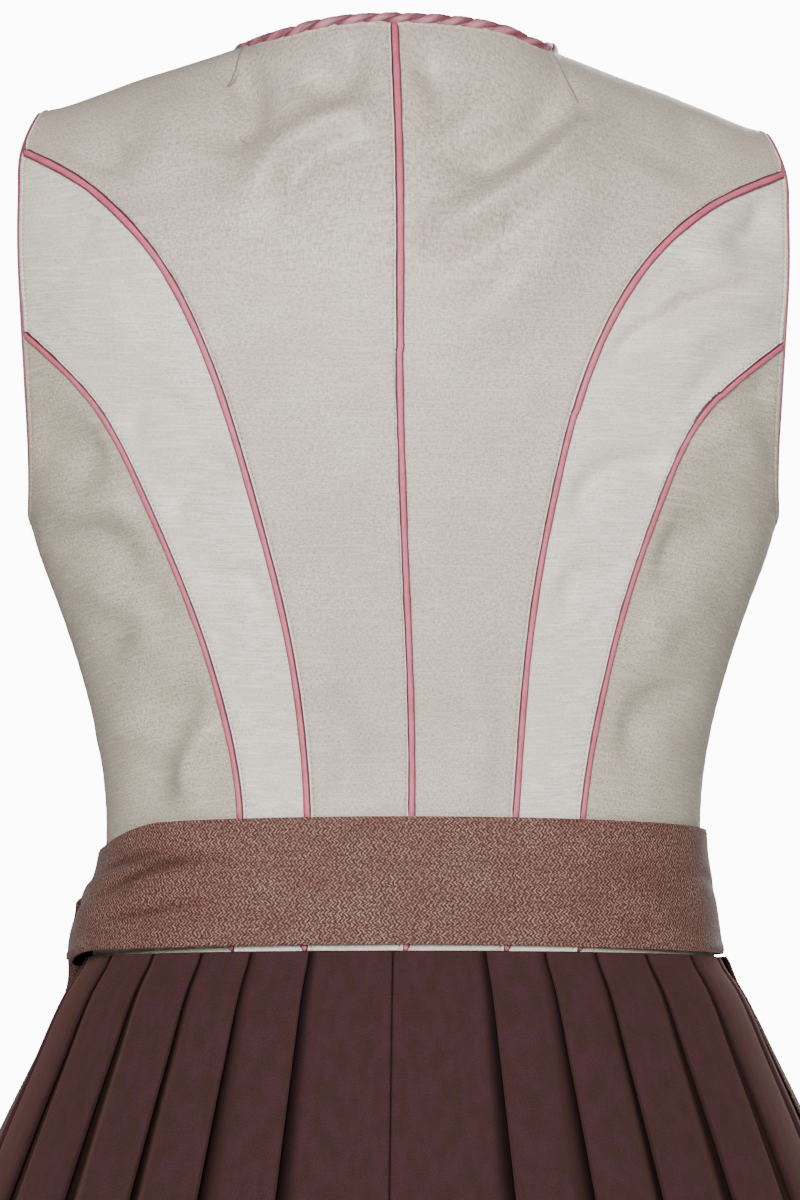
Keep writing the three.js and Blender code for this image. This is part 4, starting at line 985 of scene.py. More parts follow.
for dart in DARTS:
    t = np.linspace(0, 1, 26)
    x = dart["x0"] + (dart["x1"] - dart["x0"]) * t
    z = dart["z0"] + (dart["z1"] - dart["z0"]) * t - 0.5 * np.sin(np.pi * t)
    angle, v = chart(x, z)
    middle, normal = body(angle, v), outward(angle, v)
    _, aside, _ = frames(middle, normal, False)
    aside = aside * -np.sign(aside[:, :1] * dart["x0"])
    lie = height_on(dart["panel"], middle, normal)
    share = np.array([0, 0.08, 0.16, 0.28, 0.5, 0.75, 1.0])
    thick = np.array([0.0, 0.85, 1.0, 0.95, 0.7, 0.35, 0.0]) * DART_THICK
    wide = DART_WIDTH * (1 - t) ** 0.7 + 0.8 * (1 - t) ** 0.25
    low = middle[:, None] + aside[:, None] * (share * wide[:, None])[..., None]
    grow = (1 - t) ** 0.4 + 0.15
    top = low + normal[:, None] * (lie[:, None] + 0.02 + thick * grow[:, None])[..., None]
    low = low + normal[:, None] * (lie[:, None] - 0.25)[..., None]
    cut = np.stack([low[..., 0], low[..., 2]], axis=-1)
    lie_over = np.maximum(0, share * wide[:, None] - 0.55)
    name = "dart_" + dart["panel"].rsplit("_", 1)[1]
    # The seams map paints a thin shadow line along the dart's folded edge, in the silk's painted shade.
    shade = np.stack([np.full_like(lie_over, FAR_OFF), lie_over], axis=-1) / SEAM_REACH
    shell(name, top, low, silk_centre, "bodice_silk", cut, seams=shade)


# Neck trim: two tubes of padded rose satin twisted together and sewn round the whole neckline.
# A twist takes 23 mm, so a strand crosses the top every 11 to 12 mm.
BRAID_SEAT = 1.7  # from the cloth's edge to the middle of the twist
BRAID_LIFT = 1.1  # of its middle over the middle of the cloth
STRAND = dict(orbit=1.1, wide=2.3, high=1.75, twist=23.0)
# Colours round each strand: painted shade darkens it towards both sides.
braid_tones_painted_shade = [(0.0, "#6A343F"), (0.25, "#AB6772"), (0.6, "#B8747F"), (1.0, "#7A414C")]
braid_satin = satin("rose satin, padded", braid_tones_painted_shade, (0.12, 1.1, 1))
neck_loop = np.concatenate([
    traced(BACK_NECK["right"], 90, -1)[::-1][:-1],
    traced(BACK_NECK["left"], 90, 1)[:-1],
    traced(FRONT_NECK["left"], 170, 1, front=True)[::-1][:-1],
    traced(FRONT_NECK["right"], 170, -1, front=True)[:-1],
])
points, normals = edge_loop(neck_loop, (0, -20, -20), BRAID_SEAT)
points, normals, run = evened(points, normals, 1.25)
for _ in range(3):
    normals = (np.roll(normals, 4, axis=0) + normals + np.roll(normals, -4, axis=0)) / 3
    points = (np.roll(points, 2, axis=0) + points * 2 + np.roll(points, -2, axis=0)) / 4
_, aside, up = frames(points, normals, True)
whole = run[-1] + run[1]
twists = round(whole / STRAND["twist"])
points = points + normals * (BRAID_LIFT * (1 - 1.4 * np.maximum(0, normals[:, 2]) ** 2))[:, None]
strands = []
for k in range(2):
    turn = 2 * np.pi * (run / whole * twists + k / 2)
    turn = turn + 0.5 * np.sin(2 * np.pi * run / whole * 7) + 0.2 * np.sin(2 * np.pi * run / whole * 19)
    swell = 1 + 0.09 * np.sin(2 * np.pi * run / whole * 40 + 2 * k) + 0.05 * np.sin(run * 1.9 + k)
    centre = points + STRAND["orbit"] * (aside * np.cos(turn)[:, None] + up * np.sin(turn)[:, None])
    out = aside * np.cos(turn)[:, None] + up * np.sin(turn)[:, None]
    strands.append(tube(centre, out, STRAND["wide"] * swell, STRAND["high"] * swell, 12, closed=True))
count = len(strands[0][0])
make(
    "neck_twist",
    np.concatenate([s[0] for s in strands]),
    np.concatenate([strands[0][1], strands[1][1] + count]),
    braid_satin,
    "satin_braid",
    np.concatenate([s[2] for s in strands]),
    "neck_braid",
    crisp=80,
)


# Skirt: wool twill in pressed knife pleats that all point to the centre back, sewn to the waist
# seam and to each other at the centre back and in the inner folds at the sides.
SKIRT = rows_of(
    "z half back front stand tuck",
    (-390, 134.5, 91, 96, 2.7, 14), (-397, 137, 92.5, 98, 2.7, 14), (-410, 144.5, 98, 103, 3.6, 15),
    (-440, 156.5, 110, 112, 5.2, 17), (-470, 168.3, 122, 123, 6.6, 18), (-540, 194, 148, 146, 9.5, 20),
    (-640, 227, 183, 178, 13, 22), (-760, 260, 218, 210, 16.5, 24), (-900, 290, 250, 240, 20, 26),
    (-1000, 308, 268, 258, 22, 27), (-1097, 322, 282, 272, 24, 28),
)
HEM_Z = -1097.0
PLEAT_EDGES = [16.1, 27.4, 38, 50.5, 65.7, 82, 99, 115, 130]
PLEAT_SHIFT = 1.1
SIDE_SEAM_PLEAT = 5
CENTRE_BACK_SEAM = 1.9
FRONT_WAVES = 5
FRONT_WAVE_SHARE = 0.35
SKIRT_CLOTH = 0.75
SKIRT_ROWS = np.concatenate([np.linspace(0, 0.06, 9)[:-1], np.linspace(0.06, 1, 48)])
FOLD_PRESS = 0.55  # how much narrower than round a pressed fold is
FACE_SLOPE = dict(top=5, grow=55, most=26)  # width over which a face sinks below the next fold
STAND_AT_WAIST = 2.7
ring_columns = ("half", "back", "front", "stand", "tuck")


def ring_at(z):
    return {column: float(along(SKIRT, "z", z, column)) for column in ring_columns}


def ring_xy(ring, angle):
    turn = np.radians(angle)
    sine, cosine = np.sin(turn), np.cos(turn)
    depth = np.where(cosine > 0, ring["back"], ring["front"])
    return np.stack([ring["half"] * sine, depth * cosine * (1 + SQUARENESS * sine**2)], axis=-1)


def on_skirt(ring, angle, out):
    """Places moved out from the skirt's ring along its normal, seen from above."""
    along_ring = ring_xy(ring, angle + 0.5) - ring_xy(ring, angle - 0.5)
    step = np.hypot(along_ring[..., 0], along_ring[..., 1])
    normal = np.stack([-along_ring[..., 1], along_ring[..., 0]], axis=-1) / step[..., None]
    return ring_xy(ring, angle) + normal * np.asarray(out)[..., None]


def per_degree(ring, angle):
    step = ring_xy(ring, angle + 0.5) - ring_xy(ring, angle - 0.5)
    return float(np.hypot(*step))


def skirt_z(angle, share):
    top = waist_z(angle) - 0.05
    return top + (HEM_Z - top) * share


def arc(low, high, count, turn_from, turn_to, wide, sign, at, step):
    """Half turn of cloth round a fold, as places [angle, stand out]."""
    turn = np.linspace(turn_from, turn_to, count)
    middle, radius = (low + high) / 2, (high - low) / 2
    return at + sign * (wide * np.cos(turn) - wide) / step, middle + radius * np.sin(turn)


def pleats(ring, part, side, share):
    """Folded line of one side of the skirt at a height, as places [angle, stand out, openness].
    Openness falls from 1 on a pleat's face to 0 inside a fold, and sets the twill's painted shade."""
    shift = PLEAT_SHIFT * side
    base = np.array(PLEAT_EDGES) + shift
    step = np.array([per_degree(ring, a) for a in base])
    k = np.arange(len(base))
    sway = np.sin(k * 2.4 + side + share * (2.2 + 0.4 * np.cos(k * 1.7))) - np.sin(k * 2.4 + side)
    edges = base + sway * (0.4 + 3.2 * share) / step
    ease = (ring["stand"] - STAND_AT_WAIST) * 0.12
    tall = ring["stand"] * (1 - share * 0.05 * (1 + np.sin(k * 1.9 + side)))
    back, fore = tall / 2 - ease, tall / 2 + ease
    tuck = ring["tuck"]
    line = []

    def lay(angle, out, openness):
        line.append(np.stack(np.broadcast_arrays(angle, out, openness), axis=-1))

    def under(i):
        """The cloth runs in behind the fold and turns back."""
        end = tuck / step[i]
        round_off = FOLD_PRESS * back[i] / 2 / step[i]
        run = edges[i] + (end - round_off) * np.linspace(0, 1, 5)[:-1]
        lay(run, 0, 0)
        lay(*arc(0, back[i], 7, -np.pi / 2, np.pi / 2, round_off * step[i], 1, edges[i] + end, step[i]), 0)

    def over(i):
        """It comes forward to the folded edge, turns out and shows as the pleat's face."""
        end = tuck / step[i]
        turn = FOLD_PRESS * (tall[i] - fore[i]) / 2
        run = edges[i] + np.linspace(end, turn / step[i], 5)[1:-1]
        mix = np.linspace(0, 1, 5)[1:-1]
        lay(run, back[i] + (fore[i] - back[i]) * mix, 0)
        turned = np.linspace(0.2, 1, 9)
        lay(*arc(fore[i], tall[i], 9, -np.pi / 2, np.pi / 2, turn, -1, edges[i], step[i]), turned)

    def face(i, to):
        """Places across the pleat's face, from its fold down to the next pleat."""
        start = edges[i] + 2 * FOLD_PRESS * (tall[i] - fore[i]) / 4 / step[i]
        slope = min(FACE_SLOPE["top"] + FACE_SLOPE["grow"] * share, FACE_SLOPE["most"])
        flat = max(edges[i] + 1.15 * tuck / step[i], to - slope / step[i])
        run = start + (flat - start) * np.linspace(0, 1, 6)[1:]
        lie = tall[i] * (1 - 0.04 * np.linspace(0, 1, 6)[1:])
        swing = 0.045 * share * tall[i] * np.sin(np.linspace(0, np.pi, 6)[1:] * (1 + i % 2))
        lay(run, lie - np.abs(swing), 1)
        drop = np.linspace(0, 1, 10)[1:-1]
        fall = 0.5 + 0.5 * np.cos(np.pi * drop**0.9)
        lay(flat + (to - flat) * drop, 0.96 * tall[i] * fall, 1 - drop**1.3)

    if part == "back":
        start = CENTRE_BACK_SEAM * side
        mm = 1 / per_degree(ring, 0)
        # Openness paints shade here too: a thin dark line along the seam, and darker cloth where it runs
        # in under the first fold.
        seam = start + np.array([-SEAM_MEET, 0.35, 0.8]) * mm
        lay(seam, [-0.35, -0.3, -0.05], [0.0, 0.3, 0.9])
        run = np.linspace(start + 2.5 * mm, edges[0], 24)[:-1]
        lay(run, 0, smooth((edges[0] - run) * step[0], 0, 5 + 30 * share))
        for i in range(SIDE_SEAM_PLEAT + 1):
            under(i)
            if i < SIDE_SEAM_PLEAT:
                over(i)
                face(i, edges[i + 1])
        return np.concatenate(line)
    for i in range(SIDE_SEAM_PLEAT, len(edges)):
        if i > SIDE_SEAM_PLEAT:
            under(i)
        over(i)
        if i + 1 < len(edges):
            face(i, edges[i + 1])
    dip = (ring["stand"] - STAND_AT_WAIST) * FRONT_WAVE_SHARE
    last = edges[-1]
    run = np.linspace(last + 1.2, 180, 44)[1:]
    wave = 0.5 - 0.5 * np.cos((run - base[-1] - 10) / (170 - base[-1]) * 2 * np.pi * FRONT_WAVES)
    wave = np.where(run < base[-1] + 10, 0, wave)
    lay(run[:-1], ring["stand"] - 0.4 - dip * wave[:-1], 1)
    return np.concatenate(line)


def thickened(flat, wide):
    """Rows of places out and in from a line seen from above, half a cloth's thickness each way."""
    step = np.diff(flat, axis=0)
    step = step / np.maximum(1e-9, np.linalg.norm(step, axis=1, keepdims=True))
    before = np.concatenate([step[:1], step])
    after = np.concatenate([step, step[-1:]])
    both = before + after
    normal = np.stack([-both[:, 1], both[:, 0]], axis=-1)
    normal = normal / np.maximum(1e-9, np.linalg.norm(normal, axis=1, keepdims=True))
    return flat + normal * wide / 2, flat - normal * wide / 2


def worsted(tree):
    """Fine wool twill, matt and deep brown: its ribs climb at 63 degrees, drawn 1 mm apart, about
    twice the real pitch, so that they hold at this distance. Deep in a fold it is painted darker,
    a painted shade."""
    cut = laid(tree, "cut")
    tilted = {"Vector": cut, "Rotation": (0, 0, math.radians(-27)), "Scale": (1, 0.06, 1)}
    ribs = noise_on(tree, node(tree, "ShaderNodeMapping", tilted).outputs[0], 1.0, 2.0)
    cloud = noise_on(tree, cut, 0.09, 5.0, 0.62)
    fibre = noise_on(tree, cut, 1.4, 2.0)
    body_colour = ramp(tree, cloud, [(0.36, "#382623"), (0.64, "#3F272C")])
    flecked = blend(tree, 0.5, body_colour, ramp(tree, fibre, [(0.3, 0.3), (0.7, 0.72)]), "SOFT_LIGHT")
    openness = parts_of(tree, laid(tree, "seams"))["X"]
    # Painted shade: the twill darkens as openness falls inside a fold.
    painted_fold_shade = ramp(tree, openness, [(0.0, "#3A3A3A"), (0.45, "#B4B4B4"), (0.95, "#FFFFFF")])
    values = {
        "Base Color": blend(tree, 1.0, flecked, painted_fold_shade, "MULTIPLY"),
        "Roughness": 0.9,
        "IOR": 1.3,
        "Specular IOR Level": 0.15,
        "Sheen Weight": 0.4,
        "Sheen Roughness": 0.6,
        "Sheen Tint": tone("#866157"),
        "Normal": bumped(tree, 0.35, 0.00025, worked(tree, "MULTIPLY_ADD", ribs, 0.7, fibre)),
    }
    return principled(tree, values)


brown_twill = finish("wool twill, deep brown", worsted)


def skirt_piece(name, runs):
    outer, inner, openness = [], [], []
    for share in SKIRT_ROWS:
        ring = ring_at(skirt_z(60, share))
        parts = []
        for part, side in runs:
            line = pleats(ring, part, side, share)
            angle = side * line[:, 0]
            out_row, in_row = thickened(on_skirt(ring, angle, line[:, 1]), SKIRT_CLOTH)
            hem = 1.2 * share**8 * np.sin(np.radians(angle) * 7 + side)
            z = (skirt_z(angle, share) + hem)[:, None]
            if side < 0:
                out_row, in_row = in_row, out_row
            out_row, in_row = (np.concatenate([row, z], axis=1) for row in (out_row, in_row))
            parts.append((out_row, in_row, line[:, 2:]))
        if len(parts) == 2:
            parts[1] = [rows[::-1] for rows in parts[1]]
        outer.append(np.concatenate([p[0] for p in parts]))
        inner.append(np.concatenate([p[1] for p in parts]))
        openness.append(np.concatenate([p[2] for p in parts]))
    outer, inner, openness = np.array(outer), np.array(inner), np.array(openness)
    cut = np.stack([row_run(outer, len(outer) * 3 // 4), outer[..., 2]], axis=-1)
    # Openness goes to the twill as a map for its painted shade in the folds.
    shade = openness.repeat(2, axis=-1)
    return shell(name, outer, inner, brown_twill, "skirt_wool", cut, name, shade)


# Each piece is cut flared: its pleats laid open, at the waist and at the hem, in metres.
SKIRT_PIECES = rows_of(
    "name runs waist hem length on",
    ("skirt_back_left", [("back", 1)], 0.34, 0.89, 0.72, ["back_centre_left", "back_side_left"]),
    ("skirt_back_right", [("back", -1)], 0.345, 0.90, 0.72, ["back_centre_right", "back_side_right"]),
    (
        "skirt_front", [("front", 1), ("front", -1)], 0.63, 1.66, 0.72,
        ["front_side_left", "front_side_right"],
    ),
)
for cloth in SKIRT_PIECES:
    skirt_piece(cloth["name"], cloth["runs"])


# Apron: a light cloth with a woven herringbone, gathered to the band across the front.
# The gathers start fine and close and run together into fifteen rounded folds.
APRON_START = 97.0
APRON_HEM_Z = -1045.0
APRON_WAVES = 15
APRON_TOP_DROP = 5.0
APRON_GATHER = dict(top=0.35, hem=7.0)
APRON_CLOTH = 0.7
GATHERS = 61
GATHER_DEEP = 0.55
APRON_COLUMNS = APRON_WAVES * 28
WEAVE = 1.7  # height of a band of the herringbone, and the step between its floats


def herringbone(name, ground, deep, float_colour, show):
    """Jacquard: matt ground with silky floats in a herringbone that points sideways. Its bands are
    1.7 mm high and the floats 1.7 mm apart, at real size. The floats get a painted sheen in random
    patches; where a crease turns the cloth away, painted shade dims them and darkens the ground."""

    def surface(tree):
        cut = laid(tree, "cut")
        place = parts_of(tree, cut)
        crease_shade_mask = parts_of(tree, laid(tree, "seams"))["X"]
        do = lambda operation, *values: worked(tree, operation, *values)
        fuzz = noise_on(tree, cut, 0.5, 3.0)
        zigzag = do("PINGPONG", place["Y"], WEAVE)
        slant = do("ADD", do("ADD", place["X"], zigzag), do("MULTIPLY", fuzz, 1.6))
        stripe = do("FRACT", do("DIVIDE", slant, WEAVE))
        rib = ramp(tree, do("PINGPONG", stripe, 0.5), [(0.17, 0.0), (0.33, 1.0)])
        cell = {0: cut, 1: (0.45, 1 / WEAVE, 1)}
        cells = node(tree, "ShaderNodeVectorMath", cell, operation="MULTIPLY").outputs[0]
        patches = noise_on(tree, cells, 0.1, 4.0, 0.55)
        dash = noise_on(tree, cells, 1.5, 3.0, 0.7)
        # Painted sheen: how much pale float colour shows, in random patches and less in the creases.
        seen = do("MULTIPLY", ramp(tree, patches, [(0.32, 0.5), (0.68, 1.0)]), rib)
        seen = do("MULTIPLY", seen, ramp(tree, crease_shade_mask, [(0.0, 0.25), (0.5, 1.0)]))
        seen = do("MULTIPLY", seen, ramp(tree, dash, [(0.43, 0.05), (0.57, 1.0)]))
        seen = do("MULTIPLY", seen, show)
        depth = do("MULTIPLY_ADD", dash, 0.6, do("MULTIPLY", rib, 0.3))
        # Painted shade: the ground darkens in the creases.
        depth = do("MULTIPLY", depth, ramp(tree, crease_shade_mask, [(0.0, 0.72), (0.45, 1.0)]))
        base = ramp(tree, depth, [(0.26, deep), (0.62, ground)])
        relief = do("ADD", rib, do("MULTIPLY", fuzz, 0.6))
        values = {
            "Base Color": blend(tree, seen, base, tone(float_colour)),
            "Roughness": do("SUBTRACT", 0.7, do("MULTIPLY", seen, 0.2)),
            "IOR": 1.4,
            "Specular IOR Level": 0.3,
            "Sheen Weight": 0.08,
            "Sheen Roughness": 0.45,
            "Normal": bumped(tree, 0.3, 0.0002, relief),
        }
        return principled(tree, values)

    return finish(name, surface)


band_jacquard = herringbone("herringbone jacquard, band", "#6E453C", "#3A231D", "#BC9A90", 0.58)
apron_jacquard = herringbone("herringbone jacquard, apron", "#70463D", "#452A22", "#B89489", 0.5)


def apron_out(ring, angle, share, fine=1.0):
    half = APRON_GATHER["top"] + (APRON_GATHER["hem"] - APRON_GATHER["top"]) * np.sqrt(share)
    turn = np.radians((angle - 180) * (APRON_WAVES * 360) / (360 - 2 * APRON_START))
    uneven = 0.45 * np.sin(turn / 3.7 + 0.8) * share
    clear = ring["stand"] + (SKIRT_CLOTH + APRON_CLOTH) / 2 + SEAM_GAP + 0.55 + 1.5 * share
    pinched = 1 + np.sin(turn * GATHERS / APRON_WAVES + 2 * np.sin(turn / 5))
    close = GATHER_DEEP * np.exp(-share / 0.05) * pinched
    crease = 0.5 * share * (1 - share) * (1 + np.sin(turn * 2.31 + 5 * share))
    return clear + half * (1 + np.cos(turn + uneven)) + fine * (close + crease)


rows_outer, rows_inner = [], []
angles = np.linspace(APRON_START, 360 - APRON_START, APRON_COLUMNS + 1)
for share in np.concatenate([[0, 0.004, 0.01, 0.018], np.linspace(0.028, 1, 54)]):
    level = skirt_z(60, share)
    level = level + (APRON_HEM_Z - HEM_Z) * smooth(share, 0.5, 1.0)
    ring = ring_at(level - APRON_TOP_DROP * (1 - smooth(share, 0, 0.02)))
    start = band_low_z(angles) - SEAM_GAP
    height = start + (APRON_HEM_Z - start) * share
    flat = on_skirt(ring, angles, apron_out(ring, angles, share))
    out_row, in_row = thickened(flat, APRON_CLOTH)
    rows_outer.append(np.column_stack([out_row, height]))
    rows_inner.append(np.column_stack([in_row, height]))
outer, inner = np.array(rows_outer), np.array(rows_inner)
cut = np.stack([row_run(outer, 40), outer[..., 2]], axis=-1)
apron_cloth = shell("apron_cloth", outer, inner, apron_jacquard, "apron_jacquard", cut, "apron_cloth")


# Apron band: the same cloth over a stiffening, wrapped round the waist and drawn down on the
# wearer's left by the bow, which creases it there. Its lower edge rolls a little.
BAND_OFFSET = 3.6
BAND_OFFSET_FRONT = 2.6
BAND_SIDE_IN = 0.5
BAND_LEFT = rows_of(
    "share out",
    (0, 0), (0.25, 1), (0.5, 5.8), (0.75, 7.6), (1, 5.2),
)
BAND_HEIGHT = 58
BAND_STITCH = 2.0  # from each edge to its stitches
BAND_REACH = 1.9
BAND_WALL = 1.2
BAND_COLUMNS = 420
BAND_CREASES = rows_of(
    "angle up to_angle to_up wide deep",
    (66, 0.50, 36, 0.30, 3.4, -2), (62, 0.62, 30, 0.52, 3, 1.4), (64, 0.70, 34, 0.66, 2.8, -1.6),
    (74, 0.34, 48, 0.16, 3.4, -1.7), (70, 0.80, 44, 0.84, 2.4, -0.9), (86, 0.42, 62, 0.28, 3, 1.1),
    (92, 0.60, 80, 0.66, 6, -2.8), (100, 0.55, 74, 0.46, 3, -1.2), (104, 0.70, 78, 0.66, 3, 1),
    (125, 0.40, 100, 0.26, 3.2, -1.1), (128, 0.60, 96, 0.62, 3, -1.1), (172, 0.42, 200, 0.28, 3.2, -1),
    (170, 0.60, 206, 0.66, 3, -0.9), (12, 0.30, -14, 0.36, 4, -0.35), (-30, 0.62, -58, 0.52, 3.6, -0.45),
    (-70, 0.40, -96, 0.46, 3.6, -0.5),
)


def band_out(angle, share):
    s = np.sin(np.radians(angle))
    left = np.maximum(0, s) ** 2 * along(BAND_LEFT, "share", share, "out")
    front = (1 - np.cos(np.radians(angle))) / 2 * BAND_OFFSET_FRONT * np.asarray(share) ** 2
    return BAND_OFFSET - BAND_SIDE_IN * s**2 + left + front


def band_point(angle, share, out):
    z = band_top_z(angle) + (band_low_z(angle) - band_top_z(angle)) * share
    lifted = np.asarray(band_out(angle, share) + out)[..., None]
    return body(angle, z) + outward(angle, z) * lifted


def band_creases(angle, share):
    """Creases drawn as [angle, share of the band's height], each fading at its ends."""
    lift = 0 * angle
    for crease in BAND_CREASES:
        a0, a1 = crease["angle"], crease["to_angle"]
        off_turn = (angle - a0 + 180) % 360 - 180
        t = off_turn / (a1 - a0)
        line = crease["up"] + (crease["to_up"] - crease["up"]) * t + 0.05 * np.sin(3 * t + a0)
        off = (share - line) * BAND_HEIGHT / crease["wide"]
        ends = smooth(t, -0.25, 0.3) * (1 - smooth(t, 0.5, 1.2))
        lift = lift + crease["deep"] * np.exp(-(off**2)) * ends
    return lift


angle, share = np.meshgrid(
    np.linspace(-180, 180, BAND_COLUMNS, endpoint=False),
    np.concatenate([[0, 0.012, 0.03], np.linspace(0.06, 0.94, 34), [0.97, 0.988, 1]]),
)
left = np.maximum(0, np.sin(np.radians(angle))) ** 2
edge = np.minimum(share, 1 - share) * BAND_HEIGHT
rounded = -0.35 * np.exp(-((edge / 1.2) ** 2))
stitch_groove = -0.16 * np.exp(-(((edge - BAND_STITCH) / 0.6) ** 2))
rolled = (0.5 + 1.3 * left) * np.exp(-((((1 - share) * BAND_HEIGHT - 2.6) / 2.2) ** 2))
slack = 0.3 * np.sin(np.radians(angle) * 9 + 4 * share) * np.sin(np.pi * share)
creased = band_creases(angle, share) * np.sin(np.pi * share) ** 0.4
lift = rounded + stitch_groove + rolled + slack + creased
outer = band_point(angle, share, BAND_WALL / 2 + lift)
inner = band_point(angle, share, -BAND_WALL / 2 + np.clip(lift, -0.2 - 3.0 * left, 0.6))
u = row_run(outer, 20)
cut = np.stack([u, -BAND_HEIGHT * share + 0.6 * np.sin(u / 60)], axis=-1)
# The crease field goes to the jacquard as a map for its painted shade in the creases.
crease_shade_mask = np.stack([np.clip(0.55 + creased / 3, 0, 1), 0 * creased], axis=-1)
shell("apron_band", outer, inner, band_jacquard, "apron_jacquard", cut, "apron_band", crease_shade_mask, ring=True)

# Stitching along both edges of the band, in the apron's own colour.
brown_thread = finish(
    "brown sewing thread",
    lambda tree: principled(tree, {"Base Color": tone("#6B463E"), "Roughness": 0.6, "IOR": 1.5}),
)
round_band = np.linspace(-180, 180, 600)
for name, at in (("top", BAND_STITCH), ("low", BAND_HEIGHT - BAND_STITCH)):
    row = outer[int(np.argmin(np.abs(share[:, 0] - at / BAND_HEIGHT)))]
    path = sampled(round_band, np.append(angle[0], 180), np.concatenate([row, row[:1]]))
    down = (band_low_z(round_band) - band_top_z(round_band)) * (at / BAND_HEIGHT)
    z = band_top_z(round_band) + down
    stitched(f"stitches_band_{name}", path, outward(round_band, z), "apron_jacquard", brown_thread)


# Bow at the left front: the band's ends tied, with two loops and two long tails of the same cloth.
BOW_ANGLE = 149.0
BOW_Z = -373.0
TIE_WIDTH = 46.0
KNOT = dict(wide=30, tall=38, deep=17, clear=0.4)
KNOT_RADIUS = 9  # for laying its pattern
LOOP = dict(length=55, start=5.5, step=5, deep=20, droop=28, narrow=18, clear=0.1)
TAIL = dict(length=430, narrow=12, spread=31, gap=-0.9, lift=6, fall=26, over=2.6)
TIE_CLOTH = 1.1


def on_band(aside, z, out):
    angle = BOW_ANGLE + np.asarray(aside, float) / BAND_REACH
    top = band_top_z(angle)
    return band_point(angle, (top - z) / (top - band_low_z(angle)), out)


def bulge(value):
    return np.sign(value) * np.abs(value) ** 0.7


all_round = np.linspace(0, 2 * np.pi, 72, endpoint=False)
up_share, turn = np.meshgrid(np.linspace(-1, 1, 33), all_round, indexing="ij")
round_off = 0.45 + 0.55 * (1 - np.abs(up_share) ** 4) ** 0.25
pleated = 1 + 0.035 * np.cos(up_share * 9 + 1.2 * np.sin(turn * 2)) + 0.03 * np.cos(up_share * 17 + turn)
wide = KNOT["wide"] / 2 * round_off * bulge(np.cos(turn)) * pleated
deep = KNOT["deep"] / 2 * (1 + round_off * bulge(np.sin(turn)) * pleated)
knot = on_band(wide, BOW_Z + up_share * KNOT["tall"] / 2, BAND_WALL / 2 + KNOT["clear"] + deep)
index = np.arange(turn.size).reshape(turn.shape)
ringed = np.concatenate([index, index[:, :1]], axis=1)
faces = np.concatenate([quads(ringed), lid(index[0], 1), lid(index[-1], -1)])
cut = np.stack([turn * KNOT_RADIUS, up_share * KNOT["tall"] / 2], axis=-1).reshape(-1, 2)
make("bow_knot", knot.reshape(-1, 3), faces, band_jacquard, "apron_jacquard", cut, "bow_knot")


def strip(name, middles, across, relief):
    """A tie's cloth along its middle line, its folds standing up from it."""
    forward = np.gradient(middles, axis=0)
    normal = unit(np.cross(forward, across))
    share = np.linspace(-0.5, 0.5, relief.shape[1])
    flat = middles[:, None] + across[:, None] * share[None, :, None]
    outer = flat + normal[:, None] * (TIE_CLOTH / 2 + relief)[..., None]
    inner = flat + normal[:, None] * (-TIE_CLOTH / 2 + relief)[..., None]
    run = lengths(middles, 0)
    cut = np.stack(np.broadcast_arrays(run[:, None], share[None] * TIE_WIDTH), axis=-1)
    return shell(name, outer, inner, band_jacquard, "apron_jacquard", cut, name)


TIE_COLUMNS = 26
tie_share = np.linspace(-0.5, 0.5, TIE_COLUMNS + 1)
for name, way in (("left", -1), ("right", 1)):
    turns = np.linspace(0, np.pi, 65)
    run = np.maximum(0, np.sin(turns)) ** 0.8
    out_round = (1 - np.cos(turns)) / 2

    def loop_at(rise):
        aside = way * (KNOT["wide"] / 2 + LOOP["clear"] + LOOP["length"] * run)
        out = LOOP["start"] + LOOP["step"] * out_round + (LOOP["deep"] - LOOP["step"]) * out_round * run
        return on_band(aside, BOW_Z - LOOP["droop"] * run + rise, out)

    width = LOOP["narrow"] + (TIE_WIDTH - LOOP["narrow"]) * np.minimum(1, run * 1.6)
    across = loop_at(width / 2) - loop_at(-width / 2)
    across = unit(across) * width[:, None]
    gather = (1 - np.minimum(1, run * 1.15)) * 1.1
    folds = np.cos(tie_share[None] * 2 * np.pi * 3.5 + way) * gather[:, None]
    soft = 0.8 * np.cos(tie_share[None] * 2 * np.pi * 1.5 + turns[:, None] * 1.2) * run[:, None]
    loop = strip(f"bow_loop_{name}", loop_at(0), across, folds + soft)

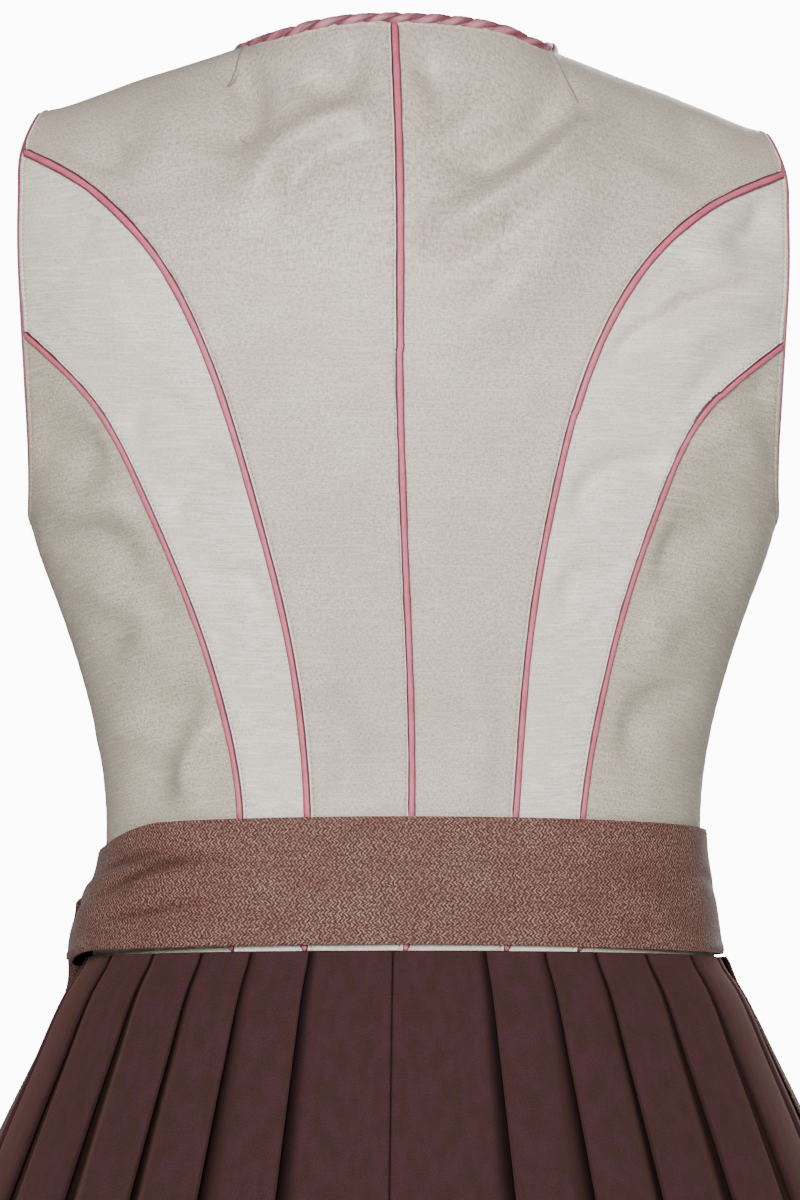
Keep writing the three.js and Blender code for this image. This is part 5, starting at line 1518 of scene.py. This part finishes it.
for name, way, over in (("left", -1, 0.0), ("right", 1, TAIL["over"])):
    top = BOW_Z - KNOT["tall"] / 2 - TAIL["gap"]
    t = np.linspace(0, 1, 110)
    heights = top - (TAIL["length"] - 12 * over) * t
    middles, across = [], []
    for one, z in zip(t, heights):
        ring = ring_at(z)
        share = max(0.0, float((band_low_z(BOW_ANGLE) - z) / (band_low_z(180.0) - APRON_HEM_Z)))
        reach = per_degree(ring, BOW_ANGLE)
        angle = BOW_ANGLE + way * (TAIL["narrow"] / 2 + TAIL["spread"] * one**0.6) / reach
        lie = float(apron_out(ring, 180.0, share, 0.0)) + 1.0 + BAND_WALL / 2 + SEAM_GAP
        out = lie + TAIL["lift"] * math.exp((z - top) / TAIL["fall"]) + over * min(1, one * 8)
        point = on_skirt(ring, np.array([angle]), np.array([out]))[0]
        beside = on_skirt(ring, np.array([angle + 1]), np.array([0.0]))[0]
        here = on_skirt(ring, np.array([angle]), np.array([0.0]))[0]
        wide = TAIL["narrow"] + (TIE_WIDTH - TAIL["narrow"]) * min(1, one * 2.5)
        side_step = (beside - here) / np.linalg.norm(beside - here) * wide
        middles.append([*point, z])
        across.append([*side_step, 0.0])
    gather = np.maximum(0, 1 - t * 2.5)[:, None]
    folds = 1.0 * np.cos(tie_share[None] * 2 * np.pi * 3 + way) * gather
    wave = 0.9 * np.sin(t[:, None] * 9 + way) * np.cos(tie_share[None] * np.pi)
    wave = wave * smooth(t, 0.15, 0.5)[:, None]
    lift = -np.abs(folds) * 0.4 - wave * 0.5
    tail = strip(f"bow_tail_{name}", np.array(middles), np.array(across), lift)


# Floor: a wide pale sheet below the hem, as in a photographer's studio.
FLOOR_Z = -1380.0
FLOOR_HALF = 14.0  # metres
corners = [(x * FLOOR_HALF, y * FLOOR_HALF, 0) for x, y in ((-1, -1), (1, -1), (1, 1), (-1, 1))]
floor_mesh = bpy.data.meshes.new("floor")
floor_mesh.from_pydata(corners, [], [(0, 1, 2, 3)])


def studio_paper(tree):
    """Matt white paper, which shows nearly as bright as the surround behind it."""
    paper = principled(tree, {"Base Color": tone("#E9E8E6"), "Roughness": 0.9, "IOR": 1.4})
    glow = node(tree, "ShaderNodeEmission", {"Color": tone("#F2F1EF"), "Strength": 2.2})
    seen = node(tree, "ShaderNodeLightPath").outputs["Is Camera Ray"]
    share = worked(tree, "MULTIPLY", seen, 0.6)
    return node(tree, "ShaderNodeMixShader", {0: share, 1: paper.outputs[0], 2: glow.outputs[0]})


floor_mesh.materials.append(finish("studio paper", studio_paper))
floor = bpy.data.objects.new("floor", floor_mesh)
floor.location = (0, 0, FLOOR_Z * MM)
bpy.context.collection.objects.link(floor)

# Studio light: a white surround that the camera sees as plain white, a broad soft light above
# the camera, a weak one to its right, and one in front of the wearer for the other side.
LIGHTS = rows_of(
    "name place size watts",
    ("key", (0.25, 3.1, 0.6), 1.1, 140),
    ("fill", (-2.6, 1.6, 0.4), 1.8, 7),
    ("front", (-0.8, -3.0, 0.6), 1.6, 95),
)
world = bpy.data.worlds.new("studio")
bpy.context.scene.world = world
world.use_nodes = True
tree = world.node_tree
tree.nodes.clear()
seen = node(tree, "ShaderNodeLightPath").outputs["Is Camera Ray"]
around = node(tree, "ShaderNodeBackground", {"Color": (1, 1, 1, 1), "Strength": 0.17})
behind = node(tree, "ShaderNodeBackground", {"Color": (1, 1, 1, 1), "Strength": 12.0})
mixed = node(tree, "ShaderNodeMixShader", {0: seen, 1: around.outputs[0], 2: behind.outputs[0]})
node(tree, "ShaderNodeOutputWorld", {"Surface": mixed.outputs[0]})
for light in LIGHTS:
    data = bpy.data.lights.new(light["name"], "AREA")
    data.shape = "SQUARE"
    data.size = light["size"]
    data.energy = light["watts"]
    lamp = bpy.data.objects.new(light["name"], data)
    bpy.context.collection.objects.link(lamp)
    lamp.location = light["place"]
    lamp.rotation_euler = (Vector((0, 0, -0.4)) - lamp.location).to_track_quat("-Z", "Y").to_euler()
